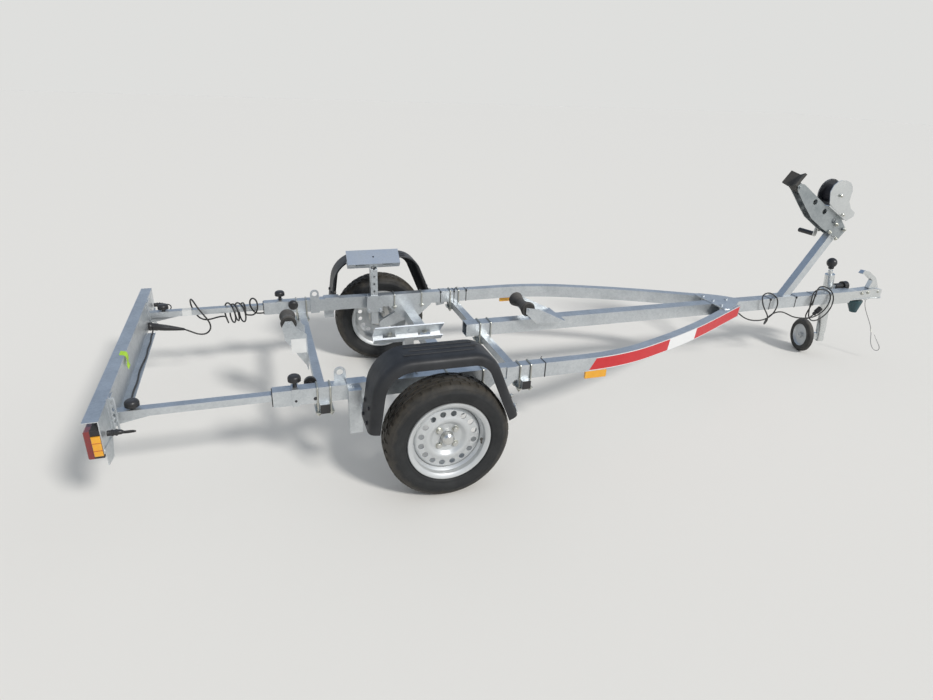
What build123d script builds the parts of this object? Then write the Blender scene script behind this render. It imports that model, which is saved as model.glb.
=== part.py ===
from build123d import *
import os
from math import sin, cos, tan, pi, radians, atan2

# Boat trailer, single axle, galvanised steel.
# +X points forward to the coupling, +Y to the left side, +Z up.
# Origin: middle of the overall box, on the floor. Millimetres.
# Places along the trailer are measured from the axle line, ahead of it positive.

os.makedirs("parts", exist_ok=True)

# main sizes
tyre_r, tyre_w = 273.5, 157
track_half = 738.5       # middle plane of the trailer to middle plane of a tyre
tube_wall = 3
fit_gap = 0.5            # running clearance of sliding and turning parts
seat_gap = 0.3           # clearance where one piece rests on another

# side rails: three straight runs joined by two bends
rail_w, rail_h = 50, 70
rail_y = 551.5           # rail centre line from the middle plane
rail_z0 = 410            # underside of the rails and the drawbar
rail_rear = 691          # rear end behind the axle
rail_bend = 952.6        # first bend ahead of the axle
rail_turns = (20, 7)     # degrees, inward turn at each bend
rail_radii = (1200, 4000)
rail_mid_run = 568.7     # between the two bends
rail_tip_gap = 20        # rail tip to the drawbar's side
rail_z1 = rail_z0 + rail_h
rail_in, rail_out = rail_y - rail_w / 2, rail_y + rail_w / 2

# drawbar
bar_w, bar_h = 70, 70
bar_rear, bar_front = 321, 3000

# cross beams under the rails
beam_s = 40
beam_half = 600
beam_x = {"rear": -486, "front": 428}
cap_t = 5

# coupling
head_rear = bar_front + 3
head_len = 297
nose_reach = head_rear + head_len     # axle line forward to the coupling nose

# light board
board_half = 756
board_z0, board_z1 = 400, 533
board_web_x = -1276      # front face of the web
board_top_w, board_low_w = 53, 40
board_t = 3
lamp_depth = 54
tail_reach = board_t + lamp_depth - board_web_x   # axle line back to the rear lamps

AX = (tail_reach - nose_reach) / 2    # x of the axle line from the middle of the overall box
sides = (("right", -1), ("left", 1))


def save(name, *solids):
    flat = []
    for s in solids:
        flat.extend(s.solids())
    shape = flat[0] if len(flat) == 1 else Compound(children=[Solid(f.wrapped) for f in flat])
    shape.label = name
    export_step(shape, "parts/" + name + ".step")


def block(x0, x1, y0, y1, z0, z1):
    return Pos((x0 + x1) / 2, (y0 + y1) / 2, (z0 + z1) / 2) * Box(x1 - x0, y1 - y0, z1 - z0)


def rod(p, q, r):
    """Round bar of radius r from point p to point q."""
    p, q = Vector(p), Vector(q)
    d = q - p
    return Plane(origin=(p + q) / 2, z_dir=d) * Cylinder(r, d.length)


def cross_rod(x, z, half, r):
    """Round bar across the trailer, from -half to half."""
    return rod((x, -half, z), (x, half, z), r)


def outline_face(points, corner_r=0):
    face = make_face(Polyline(*points, close=True))
    return fillet(face.vertices(), corner_r) if corner_r else face


def plate_xz(points, y0, y1, corner_r=0):
    """Plate cut to a side-view outline given from the axle line, from y0 to y1."""
    face = outline_face([(AX + x, z) for x, z in points], corner_r)
    return Pos(0, y1, 0) * (Plane.XZ * extrude(face, y1 - y0))


def span(side, a, b):
    return sorted((side * a, side * b))


def mirrored(shape):
    return mirror(shape, about=Plane.XZ)


# side rails
def rail_path():
    t1 = radians(rail_turns[0])
    t2 = radians(sum(rail_turns))
    tip_y = bar_w / 2 + rail_tip_gap + rail_w / 2 * cos(t2)
    bend = (AX + rail_bend, rail_y)
    mid = (bend[0] + rail_mid_run * cos(t1), bend[1] - rail_mid_run * sin(t1))
    tip = (mid[0] + (mid[1] - tip_y) / tan(t2), tip_y)
    return FilletPolyline((AX - rail_rear, rail_y), bend, mid, tip, radius=list(rail_radii)), tip[0] - AX


def rect_tube(path, w, h, wall, z_mid):
    start = Plane(origin=path @ 0, z_dir=path % 0, x_dir=(0, 0, 1))
    tube = sweep(start * Rectangle(h, w), path=path)
    tube -= sweep(start * Rectangle(h - 2 * wall, w - 2 * wall), path=path)
    return Pos(0, 0, z_mid) * tube


path, rail_tip_x = rail_path()
rail_left = rect_tube(path, rail_w, rail_h, tube_wall, (rail_z0 + rail_z1) / 2)
save("side_rail_left", rail_left)
save("side_rail_right", mirrored(rail_left))

# drawbar
bar = block(AX + bar_rear, AX + bar_front, -bar_w / 2, bar_w / 2, rail_z0, rail_z0 + bar_h)
bar -= block(AX + bar_rear - 1, AX + bar_front + 1, -bar_w / 2 + tube_wall, bar_w / 2 - tube_wall,
             rail_z0 + tube_wall, rail_z0 + bar_h - tube_wall)
save("drawbar", bar)

# cross beams and their end caps
caps = []
for name, x in beam_x.items():
    xc = AX + x
    h = beam_s / 2
    beam = block(xc - h, xc + h, -beam_half, beam_half, rail_z0 - beam_s, rail_z0)
    beam -= block(xc - h + tube_wall, xc + h - tube_wall, -beam_half - 1, beam_half + 1,
                  rail_z0 - beam_s + tube_wall, rail_z0 - tube_wall)
    save("cross_beam_" + name, beam)
    for side in (-1, 1):
        caps.append(block(xc - h, xc + h, *span(side, beam_half, beam_half + cap_t), rail_z0 - beam_s, rail_z0))
save("beam_end_caps", *caps)

# V joint: two clamping plates over and under the rail tips, with their bolts
v_plate_t = 6
v_bolt_r, v_head_r, v_head_h = 6, 10, 8
v_half_outline = [(-142, 140), (-105, 147), (-5, 87), (37, 52), (64, 20)]    # from the rail tip: ahead, half width
v_bolts = [(-119, 86)]                                                        # beside the drawbar, each side
v_bar_bolts = [-112, -15]                                                     # heads over the drawbar
v_outline = v_half_outline + [(x, -y) for x, y in reversed(v_half_outline)]
v_face = outline_face([(AX + rail_tip_x + x, y) for x, y in v_outline], 8)
v_joint = Pos(0, 0, rail_z0 - v_plate_t) * extrude(v_face, v_plate_t)
v_joint += Pos(0, 0, rail_z1) * extrude(v_face, v_plate_t)
for x, y in v_bolts:
    for side in (-1, 1):
        at = (AX + rail_tip_x + x, side * y)
        v_joint += rod((*at, rail_z0 - v_plate_t - v_head_h), (*at, rail_z1 + v_plate_t + v_head_h), v_bolt_r)
        for z in (rail_z1 + v_plate_t, rail_z0 - v_plate_t - v_head_h):
            v_joint += Pos(*at, z) * extrude(RegularPolygon(v_head_r, 6), v_head_h)
for x in v_bar_bolts:
    for z in (rail_z1 + v_plate_t, rail_z0 - v_plate_t - v_head_h):
        v_joint += Pos(AX + rail_tip_x + x, 0, z) * extrude(RegularPolygon(v_head_r, 6), v_head_h)
save("v_joint_plates", v_joint)

# axle: cross tube, hanger brackets, trailing arms with stub axles
axle_lead = 150          # cross tube ahead of the wheel centre
axle_s, axle_wall = 60, 4
axle_z = 340
axle_half = 590
arm_t = 24
arm_big_r, arm_small_r = 42, 28
stub_r = 15
hanger_t = 6
hanger_top_half, hanger_low_half = 130, 45
hanger_drop = 10         # below the axle tube's middle

h = axle_s / 2
axle_cx = AX + axle_lead
axle_tube = block(axle_cx - h, axle_cx + h, -axle_half, axle_half, axle_z - h, axle_z + h)
axle_tube -= block(axle_cx - h + axle_wall, axle_cx + h - axle_wall, -axle_half - 1, axle_half + 1,
                   axle_z - h + axle_wall, axle_z + h - axle_wall)
save("axle_tube", axle_tube)

hangers, arms = [], []
for name, side in sides:
    yc = side * rail_y
    hanger = block(axle_cx - hanger_top_half, axle_cx + hanger_top_half, yc - rail_w / 2, yc + rail_w / 2,
                   rail_z0 - hanger_t, rail_z0)
    for y in (yc - rail_w / 2, yc + rail_w / 2 - hanger_t):
        hanger += plate_xz([(axle_lead - hanger_top_half, rail_z0 - hanger_t),
                            (axle_lead + hanger_top_half, rail_z0 - hanger_t),
                            (axle_lead + hanger_low_half, axle_z - hanger_drop),
                            (axle_lead - hanger_low_half, axle_z - hanger_drop)], y, y + hanger_t)
    hanger -= block(axle_cx - h, axle_cx + h, yc - rail_w, yc + rail_w, axle_z - h, axle_z + h)
    hangers.append(hanger)

    ya, yb = span(side, axle_half, axle_half + arm_t)
    a, w = Vector(axle_lead, 0, axle_z), Vector(0, 0, tyre_r)
    d = w - a
    n = Vector(-d.Z, 0, d.X).normalized()
    corners = (a + n * arm_big_r, w + n * arm_small_r, w - n * arm_small_r, a - n * arm_big_r)
    arm = rod((AX + a.X, ya, a.Z), (AX + a.X, yb, a.Z), arm_big_r)
    arm += rod((AX, ya, w.Z), (AX, yb, w.Z), arm_small_r)
    arm += plate_xz([(p.X, p.Z) for p in corners], ya, yb)
    arm += rod((AX, side * (axle_half + arm_t), tyre_r), (AX, side * (track_half - 10), tyre_r), stub_r)
    arms.append(arm)
save("axle_hangers", *hangers)
save("suspension_arms", *arms)

# wheels
bead_r, bead_half = 165, 57
flange_r = 184
well_r = 140             # drop centre of the rim
rim_t, disc_t = 4, 5
disc_face = 22           # wheel disc's flat centre, outward of the tyre's middle plane
bolt_pcd, bolt_count, bolt_hole_r = 100, 4, 7
vent_count, vent_r, vent_pitch_r = 16, 9, 112
hub_r, hub_flange_r, cap_r = 37, 66, 28
nut_r, nut_h, wheel_bolt_r = 9.8, 12, 6


def ring_solid(points, corner_r=0):
    """Revolve a closed outline of (radius, offset) points about the wheel's axis, laid on Y."""
    return revolve(outline_face(points, corner_r), Axis.Y, 360)


def tyre_solid():
    h = tyre_w / 2
    shoulder = ((flange_r + 4, bead_half + 10), (222, h), (258, h - 12), (268, h - 20), (tyre_r - 1.5, h - 32))
    back = [(r, -y) for r, y in reversed(shoulder)]
    with BuildSketch() as sk:
        with BuildLine():
            Polyline((bead_r + seat_gap, -bead_half + 0.6), (bead_r + seat_gap, bead_half - 0.6),
                     (flange_r + 1, bead_half + 4), shoulder[0])
            ThreePointArc(*shoulder[:3])
            ThreePointArc(*shoulder[2:])
            ThreePointArc(shoulder[4], (tyre_r, 0), back[0])
            ThreePointArc(*back[:3])
            ThreePointArc(*back[2:])
            Polyline(back[4], (flange_r + 1, -bead_half - 4), (bead_r + seat_gap, -bead_half + 0.6))
        make_face()
    return revolve(sk.sketch, Axis.Y, 360)


def on_circle(count, r, start):
    for i in range(count):
        a = radians(360 / count * i + start)
        yield r * cos(a), r * sin(a)


def rim_solid():
    b, t = bead_half, rim_t
    half = [(flange_r, b + 4), (flange_r - 5, b + 7), (bead_r, b), (bead_r - 2, b - 20), (well_r, b - 34)]
    half_in = [(flange_r - 3, b + 8), (flange_r - 8, b + 11), (bead_r - t, b + 2), (bead_r - 2 - t, b - 18),
               (well_r - t, b - 36)]
    far_turn, far_turn_in = (well_r, -10), (well_r - t, -12)
    outer = half + [far_turn] + [(r, -y) for r, y in reversed(half[:4])]
    inner = [(r, -y) for r, y in half_in[:4]] + [far_turn_in] + list(reversed(half_in))
    barrel = ring_solid(outer + inner)
    f = disc_face
    face_line = [(hub_r - 8, f), (60, f), (72, f + 11), (84, f + 12), (96, f + 2), (124, f - 5), (well_r - t + 1, f - 14)]
    back_line = [(r, y - disc_t) for r, y in reversed(face_line)]
    disc = ring_solid(face_line + back_line)
    for x, z in on_circle(vent_count, vent_pitch_r, 180 / vent_count):
        disc -= Pos(x, f, z) * (Rot(90, 0, 0) * Cylinder(vent_r, 60))
    for x, z in on_circle(bolt_count, bolt_pcd / 2, 45):
        disc -= Pos(x, f, z) * (Rot(90, 0, 0) * Cylinder(bolt_hole_r, 60))
    return barrel + disc


def hub_solid():
    f = disc_face - disc_t
    hub = ring_solid([(stub_r + seat_gap, -32), (hub_r, -32), (hub_r, f - 12), (hub_flange_r, f - 12),
                      (hub_flange_r, f), (cap_r, f), (cap_r, f + 22), (cap_r - 2, f + 30), (cap_r - 10, f + 37),
                      (0.01, f + 40), (0.01, -8), (stub_r + seat_gap, -8)])
    for x, z in on_circle(bolt_count, bolt_pcd / 2, 45):
        hub += Pos(x, f + 8, z) * (Rot(90, 0, 0) * Cylinder(wheel_bolt_r, 18))
        hub += Pos(x, disc_face + 0.1, z) * (Rot(-90, 0, 0) * extrude(RegularPolygon(nut_r, 6), nut_h))
    return hub


for kind, shape in (("tyre", tyre_solid()), ("rim", rim_solid()), ("hub", hub_solid())):
    for name, side in sides:
        save(kind + "_" + name, Pos(AX, side * track_half, tyre_r) * (shape if side > 0 else mirrored(shape)))

# fenders: skin with a rolled outer lip and three ribs along the top
fender_low, fender_top = 370, 675
fender_rear_low, fender_rear_top = -345, -230
fender_front_top, fender_front_low = 175, 300
fender_corner_r = 110
fender_wall = 4
fender_in, fender_out = 655, 825
fender_lip, lip_bead = 28, 7
rib_h, rib_w = 4, 14
rib_offsets = (40, 75, 110)    # from the inner edge
fender_shift = {"right": 0, "left": 35}


def fender_outline(inset):
    pts = [(fender_rear_low, fender_low), (fender_rear_top, fender_top),
           (fender_front_top, fender_top), (fender_front_low, fender_low)]
    f = outline_face(pts)
    f = fillet(f.vertices().sort_by(Axis.Y)[-2:], fender_corner_r)
    if inset:
        f = offset(f, -inset, kind=Kind.INTERSECTION)
        f = f + Pos(0, -inset - 2, 0) * f
    return f


def fender_solid(shift):
    full = fender_outline(0)
    body = extrude(full - fender_outline(fender_wall), fender_out - fender_in)
    body += extrude(full - fender_outline(fender_lip), fender_wall)
    body += Pos(0, 0, fender_wall) * extrude(full - fender_outline(fender_wall + lip_bead), lip_bead)
    fend = Pos(AX, fender_out, 0) * (Plane.XZ * body)
    for y in rib_offsets:
        rib = block(AX + fender_rear_top + 30, AX + fender_front_top - 30, fender_in + y, fender_in + y + rib_w,
                    fender_top - 1, fender_top + rib_h)
        fend += chamfer(rib.faces().sort_by(Axis.Z)[-1].edges(), rib_h - 0.5)
    return Pos(shift, 0, 0) * fend


save("fender_left", fender_solid(fender_shift["left"]))
save("fender_right", mirrored(fender_solid(fender_shift["right"])))

# fender brackets: a post saddled on the rail at the rear, a bent bar at the front,
# each with a flat stay that lies against the fender's leg
stay_w, stay_t, stay_low = 30, 5, 8
saddle_x, saddle_w, saddle_top_w, saddle_t = -389, 54, 82, 6
saddle_post_w = 40
saddle_post_low = {"right": 268, "left": 345}
front_bar_w = 45


def leg_stay(x_low, x_top, inside, shift):
    """Outline of a flat bar lying against one leg of the fender."""
    u = Vector(x_top - x_low, 0, fender_top - fender_low).normalized()
    n = Vector(u.Z, 0, -u.X) * (1 if x_top > x_low else -1)
    o = Vector(x_low + shift, 0, fender_low)
    d0 = fender_wall + seat_gap if inside else -seat_gap - stay_t
    return [(p.X, p.Z) for p in (o + n * d + u * s for d, s in
            ((d0, stay_low), (d0 + stay_t, stay_low), (d0 + stay_t, stay_low + stay_w), (d0, stay_low + stay_w)))]


brackets = []
for name, side in sides:
    shift = fender_shift[name]
    x0 = AX + saddle_x + shift
    x1 = x0 + saddle_w
    saddle = block(x0, x0 + saddle_top_w, *span(side, rail_in, rail_out + saddle_t), rail_z1, rail_z1 + saddle_t)
    saddle += block(x0, x0 + saddle_top_w, *span(side, rail_out, rail_out + saddle_t), rail_z0 - 20, rail_z1 + saddle_t)
    post_y = rail_out + saddle_t + saddle_post_w
    saddle += block(x0, x1, *span(side, rail_out + saddle_t, post_y), saddle_post_low[name], rail_z1 - 8)
    rear_stay = leg_stay(fender_rear_low, fender_rear_top, True, shift)
    saddle += plate_xz(rear_stay, *span(side, rail_out + saddle_t + 10, fender_out - fender_wall - lip_bead - 3))
    saddle += block(x1 - 5, AX + rear_stay[0][0] + 3, *span(side, rail_out + saddle_t + 5, fender_in - 5),
                    rear_stay[0][1] + 4, rear_stay[2][1] - 6)
    brackets.append(saddle)
    front_stay = leg_stay(fender_front_low, fender_front_top, False, shift)
    fx = max(p[0] for p in front_stay)
    top_x = fender_front_low + 35
    bent_bar = plate_xz([(top_x, rail_z1), (top_x + front_bar_w, rail_z1), (top_x + front_bar_w + 5, rail_z0 + 10),
                         (fx + front_bar_w - 5, fender_low + 10), (fx - 8, fender_low + 2),
                         (fx - 14, fender_low + 34), (top_x, rail_z0 + 15)],
                        *span(side, rail_out, rail_out + saddle_t))
    bent_bar += plate_xz(front_stay, *span(side, rail_out, fender_out - 20))
    brackets.append(bent_bar)
save("fender_brackets", *brackets)

# boat supports: post clamped to the inner face of each rail, tilted channel on top
post_s, post_wall = 40, 4
post_hole_r, post_hole_pitch, post_hole_count = 5.5, 45, 4
support_x = {"right": -110, "left": -73}
support_top = {"right": 680, "left": 722}    # middle of the plate's upper face
support_post_len = 362
support_tilt = 42
support_len, support_w, support_t = 300, 95, 5
support_depth, support_foot = 34, 45
support_hole_r = 5.5
scallop_x, scallop_w, scallop_h = 78, 56, 12
clamp_plate_w, clamp_plate_t, clamp_over = 90, 6, 15
clamp_nut_r, clamp_nut_h = 9, 9


def support_channel():
    """Folded channel in its own frame: plate on top, web at the inner edge (+Y), foot flange inwards."""
    w, d, t = support_w / 2, support_depth, support_t
    section = [(-w, 0), (w, 0), (w, -d - t), (w - support_foot, -d - t), (w - support_foot, -d), (w - t, -d),
               (w - t, -t), (-w, -t)]
    face = make_face(Polyline(*section, close=True))
    body = Pos(support_len / 2, 0, 0) * (Plane.YZ * extrude(face, -support_len))
    for x in (-scallop_x, scallop_x):
        body -= Pos(x, w, -t - scallop_h / 2) * Box(scallop_w, 3 * t, scallop_h)
    return body - Cylinder(support_hole_r, 40)


posts, plates = [], []
for name, side in sides:
    top, xc = support_top[name], AX + support_x[name]
    yc = side * (rail_in - post_s / 2)
    seat = Pos(xc, yc, top) * (Rot(side * support_tilt, 0, 0) * Rot(0, 0, 180 if side > 0 else 0))
    plates.append(seat * support_channel())
    z0 = top - support_post_len - post_s
    post = Pos(xc, yc, (z0 + top) / 2) * (Box(post_s, post_s, top - z0)
                                          - Box(post_s - 2 * post_wall, post_s - 2 * post_wall, top - z0 + 2))
    above = Box(4 * post_s, 6 * post_s, 4 * post_s)
    post -= seat * (Pos(0, 0, 2 * post_s - support_depth - support_t) * above)
    for i in range(post_hole_count):
        z = rail_z1 + clamp_over + 25 + i * post_hole_pitch
        post -= rod((xc, yc - post_s, z), (xc, yc + post_s, z), post_hole_r)
    clamp_y = rail_in - post_s
    hw = clamp_plate_w / 2
    clamp = block(xc - hw, xc + hw, *span(side, clamp_y - clamp_plate_t, clamp_y), rail_z0 - clamp_over, rail_z1 + clamp_over)
    for dx in (-hw + 12, hw - 12):
        for z in (rail_z0 - 7, rail_z1 + 7):
            ya, yb = clamp_y - clamp_plate_t - clamp_nut_h, rail_in + 8
            clamp += rod((xc + dx, side * ya, z), (xc + dx, side * yb, z), 5)
            clamp += rod((xc + dx, side * ya, z), (xc + dx, side * (ya + clamp_nut_h), z), clamp_nut_r)
    posts.append(post + clamp)
save("support_posts", *posts)
save("support_plates", *plates)

# keel rollers and their brackets
pin_r, pin_over = 8, 8
keel_plate_t, keel_side_gap = 5, 3
rear_roller_x, rear_roller_z = -586, 570
rear_roller_len, rear_end_r, rear_mid_r = 110, 38, 30
front_roller_x, front_roller_z = 646, 560
front_roller_len, front_end_r, front_mid_r, front_waist = 190, 40, 24, 18

bore = pin_r + fit_gap
rr = rear_roller_len / 2
save("keel_roller_rear", Pos(AX + rear_roller_x, 0, rear_roller_z)
     * ring_solid([(bore, -rr), (rear_end_r - 5, -rr), (rear_end_r, -rr + 6), (rear_mid_r, 0), (rear_end_r, rr - 6),
                   (rear_end_r - 5, rr), (bore, rr)]))
fr, fw, fe = front_roller_len / 2, front_waist, front_end_r
save("keel_roller_front", Pos(AX + front_roller_x, 0, front_roller_z)
     * ring_solid([(bore, -fr), (fe - 6, -fr), (fe, -fr + 10), (front_mid_r, -fw), (front_mid_r, fw), (fe, fr - 10),
                   (fe - 6, fr), (bore, fr)]))

rk_x, rk_z = rear_roller_x, rear_roller_z
xb = beam_x["rear"] - beam_s / 2
y_rear = rr + keel_side_gap
y_front = fr + keel_side_gap
rear_bracket = block(AX + xb - 6, AX + xb, -y_rear - keel_plate_t, y_rear + keel_plate_t, rail_z0 - 85, rail_z0 + 20)
rear_bracket += cross_rod(AX + rk_x, rk_z, y_rear + keel_plate_t + pin_over, pin_r)
base_x0, base_x1, base_t = 695, 868, 5
front_bracket = block(AX + base_x0, AX + base_x1, -y_front - keel_plate_t, y_front + keel_plate_t, rail_z1, rail_z1 + base_t)
front_bracket += cross_rod(AX + front_roller_x, front_roller_z, y_front + keel_plate_t + pin_over, pin_r)
for side in (-1, 1):
    rear_bracket += plate_xz([(rk_x - 32, rk_z - 12), (rk_x - 16, rk_z + 16), (rk_x + 16, rk_z + 16),
                              (rk_x + 30, rk_z - 14), (xb, rk_z - 58), (xb, rail_z0 - 72), (xb - 16, rail_z0 - 53),
                              (rk_x - 23, rk_z - 79)], *span(side, y_rear, y_rear + keel_plate_t))
    fx, fz = front_roller_x, front_roller_z
    front_bracket += plate_xz([(fx - 16, fz - 20), (fx - 16, fz + 14), (fx + 60, fz), (base_x1, rail_z1),
                               (base_x0, rail_z1)], *span(side, y_front, y_front + keel_plate_t))
save("keel_brackets", rear_bracket, front_bracket)

# winch post: a leaning square tube welded to a foot plate
winch_post_s = 50
post_foot_x, post_top_x, post_top_z = 2463, 2760, 930
foot_t, foot_back, foot_ahead = 8, 75, 50
k = (post_top_x - post_foot_x) / (post_top_z - rail_z1)     # lean: run for each unit of height
lean = atan2(k, 1)


def post_slice(half_w, z0, z1):
    """Side outline of the leaning post between two heights."""
    h = half_w / cos(lean)
    return [(post_foot_x + k * (z - rail_z1) + s * h, z) for s, z in ((-1, z0), (1, z0), (1, z1), (-1, z1))]


h = winch_post_s / 2
winch_post = plate_xz(post_slice(h, rail_z1 + foot_t, post_top_z), -h, h)
winch_post -= plate_xz(post_slice(h - tube_wall, rail_z1 + foot_t - 10, post_top_z + 10), -h + tube_wall, h - tube_wall)
winch_post += block(AX + post_foot_x - foot_back, AX + post_foot_x + foot_ahead, -bar_w / 2 - 5, bar_w / 2 + 5,
                    rail_z1, rail_z1 + foot_t)
save("winch_post", winch_post)

# bow stop: two cheeks folded over at their upper edge, on each side of the post
cheek_t = 5
cheek_y = winch_post_s / 2
cheek_outline = [(2336, 1174), (2350, 1188), (2384, 1184), (2573, 1066), (2746, 967), (2808, 900), (2763, 844),
                 (2686, 876), (2613, 914), (2504, 981), (2438, 1048), (2343, 1151)]
fold_line = [(2384, 1184), (2573, 1066), (2746, 967)]
cheek_holes = [(2500, 1079), (2592, 1020), (2683, 962)]
cheek_hole_r = 17
cheek_bolts = [(2720, 945), (2790, 900), (2680, 888), (2745, 845)]
cheek_bolt_r, cheek_bolt_len = 7, 9
bow_pin = (2354, 1166)
bow_pin_r = 8
fold_drop = (-2.6, -4.2)      # square to the fold line, one cheek thickness
bow_stop = plate_xz(fold_line + [(x + fold_drop[0], z + fold_drop[1]) for x, z in reversed(fold_line)], -cheek_y - 1, cheek_y + 1)
for side in (-1, 1):
    cheek = plate_xz(cheek_outline, *span(side, cheek_y, cheek_y + cheek_t))
    for x, z in cheek_holes:
        cheek -= cross_rod(AX + x, z, 3 * cheek_y, cheek_hole_r)
    bow_stop += cheek
for x, z in cheek_bolts[1:3]:
    for side in (-1, 1):
        y = side * cheek_y
        bow_stop += rod((AX + x - 8, y, z + 4), (AX + x - 8, y + side * (cheek_t + cheek_bolt_len), z + 4), cheek_bolt_r)
bow_stop += cross_rod(AX + bow_pin[0], bow_pin[1], cheek_y + cheek_t + 8, bow_pin_r)
save("bow_stop_frame", bow_stop)

# rubber bow block: a shallow V that opens to the rear, on a stem between the cheeks
block_len = 83
block_tilt = 51.6            # its long way above the level
block_pin_back = 35          # pin behind the V's inner line
block_rise = 20              # middle of the V above the pin, along its long way
v_depth, v_half, rubber_t = 26, 52, 15
stem_half = cheek_y - fit_gap
v_section = [(v_depth, v_half), (0, 0), (v_depth, -v_half), (v_depth - 12, -v_half - 7), (-rubber_t + 2, -stem_half),
             (-block_pin_back - 12, -stem_half), (-block_pin_back - 12, stem_half), (-rubber_t + 2, stem_half),
             (v_depth - 12, v_half + 7)]
along = Vector(cos(radians(block_tilt)), 0, sin(radians(block_tilt)))
opening = Vector(-along.Z, 0, along.X)
v_origin = Vector(AX + bow_pin[0], 0, bow_pin[1]) + opening * block_pin_back
v_plane = Plane(origin=v_origin, x_dir=opening, z_dir=-along)
stem_len = 46
block_face = make_face(Polyline(*v_section, close=True))
bow_block = v_plane * (Pos(0, 0, -block_rise) * extrude(block_face, block_len / 2, both=True))
keep_stem = v_plane * (Pos(-block_pin_back, 0, 0) * Box(2 * (block_pin_back - rubber_t) + 4, 4 * stem_half, stem_len))
keep_v = v_plane * (Pos(50 - rubber_t, 0, 0) * Box(100, 4 * v_half, 4 * block_len))
bow_block = (bow_block & keep_v) + (bow_block & keep_stem)
bow_block -= cross_rod(AX + bow_pin[0], bow_pin[1], 2 * cheek_y, bow_pin_r + seat_gap)
save("bow_block", bow_block)

# winch: arched near plate, low far plate, floor on the bow stop's fold, drum with the strap wound on it
winch_half, winch_t = 48, 4
drum_x, drum_z = 2668, 1118
near_flange_r, far_flange_r, flange_t = 62, 85, 3
strap_r = 52
pinion_x, pinion_z = 2716, 1104
near_plate = [(2591, 1070), (2573, 1140), (2588, 1180), (2612, 1200), (2640, 1208), (2680, 1206), (2712, 1194),
              (2736, 1170), (2745, 1141), (2742, 1080), (2771, 1037), (2812, 1012), (2812, 990), (2760, 962)]
far_plate = [(2591, 1070), (2620, 1094), (2640, 1130), (2690, 1138), (2732, 1122), (2748, 1080), (2790, 1010), (2760, 962)]
floor_x0, floor_x1, floor_t = 2591, 2746, 4
winch = plate_xz(near_plate, -winch_half - winch_t, -winch_half) + plate_xz(far_plate, winch_half, winch_half + winch_t)
(fx0, fz0), (fx1, fz1) = fold_line[1:]
slope = (fz1 - fz0) / (fx1 - fx0)
up = Vector(-slope, 0, 1).normalized()       # square to the fold


def above_fold(x, height):
    p = Vector(x, 0, fz0 + slope * (x - fx0)) + up * height
    return p.X, p.Z


winch_floor = [above_fold(x, h) for x, h in ((floor_x0, seat_gap), (floor_x1, seat_gap), (floor_x1, seat_gap + floor_t),
                                             (floor_x0, seat_gap + floor_t))]
winch += plate_xz(winch_floor, -winch_half - winch_t, winch_half + winch_t)
winch += cross_rod(AX + drum_x, drum_z, winch_half + winch_t + 8, 8)
save("winch_frame", winch)

inner = winch_half - 2
drum = ring_solid([(8 + seat_gap, -inner), (near_flange_r, -inner), (near_flange_r, -inner + flange_t), (18, -inner + flange_t),
                   (18, inner - flange_t), (far_flange_r - 6, inner - flange_t), (far_flange_r - 6, inner - 2 * flange_t),
                   (far_flange_r, inner - 2 * flange_t), (far_flange_r, inner), (8 + seat_gap, inner)])
save("winch_drum", Pos(AX + drum_x, 0, drum_z) * drum)
roll = inner - flange_t - 2
strap = ring_solid([(18 + seat_gap, -roll), (strap_r, -roll), (strap_r, roll), (18 + seat_gap, roll)])
save("winch_strap", Pos(AX + drum_x, 0, drum_z) * strap)

crank_arm_w, crank_arm_t = 26, 6
crank_x, crank_z = 2676, 855
grip_len, grip_r = 118, 14
ya = winch_half + winch_t
yb = ya + 20
crank = rod((AX + pinion_x, ya, pinion_z), (AX + pinion_x, yb, pinion_z), 11)
arm_dir = Vector(crank_x - pinion_x, 0, crank_z - pinion_z).normalized()
across = Vector(-arm_dir.Z, 0, arm_dir.X) * (crank_arm_w / 2)
p0, p1 = Vector(pinion_x, 0, pinion_z) - arm_dir * 14, Vector(crank_x, 0, crank_z) + arm_dir * 14
crank += plate_xz([(p.X, p.Z) for p in (p0 + across, p1 + across, p1 - across, p0 - across)], yb, yb + crank_arm_t, 9)
save("winch_crank", crank)
grip = rod((AX + crank_x, yb + crank_arm_t, crank_z), (AX + crank_x, yb + crank_arm_t + grip_len, crank_z), grip_r)
save("winch_grip", grip)

# coupling: bracket round the drawbar's end, pressed head with its ball socket, handle, plug holder
ball_r = 25.2
mount_len, mount_wall = 168, 4
head_z0, head_z1 = 420, 487
nose_half = 40
socket_depth = 20
head_lip_t, head_lip_w = 5, 5
tab_x, tab_w, tab_t, tab_low = 3202, 24, 6, 398      # tab under the head that holds the safety cable
w = bar_w / 2 + mount_wall
mount = block(AX + head_rear - mount_len, AX + head_rear + 30, -w, w, rail_z0 - mount_wall, rail_z1 + mount_wall)
mount -= block(AX + head_rear - mount_len - 1, AX + bar_front + seat_gap, -bar_w / 2, bar_w / 2, rail_z0, rail_z1)
hr = head_rear
mount -= plate_xz([(hr, rail_z0 - 9), (hr + 31, rail_z0 - 9), (hr + 31, head_z0), (hr + 10, head_z0)], -w - 1, w + 1)
ball_x = nose_reach - nose_half


def head_plan(grow):
    plan = outline_face([(AX + hr + 28, -30 - grow), (AX + hr + 28, 30 + grow), (AX + ball_x - 60, 30 + grow),
                         (AX + ball_x - 8, nose_half + grow), (AX + ball_x + 4, nose_half + grow),
                         (AX + ball_x + 4, -nose_half - grow), (AX + ball_x - 8, -nose_half - grow),
                         (AX + ball_x - 60, -30 - grow)])
    return plan + Pos(AX + ball_x, 0) * Circle(nose_half + grow)


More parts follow.
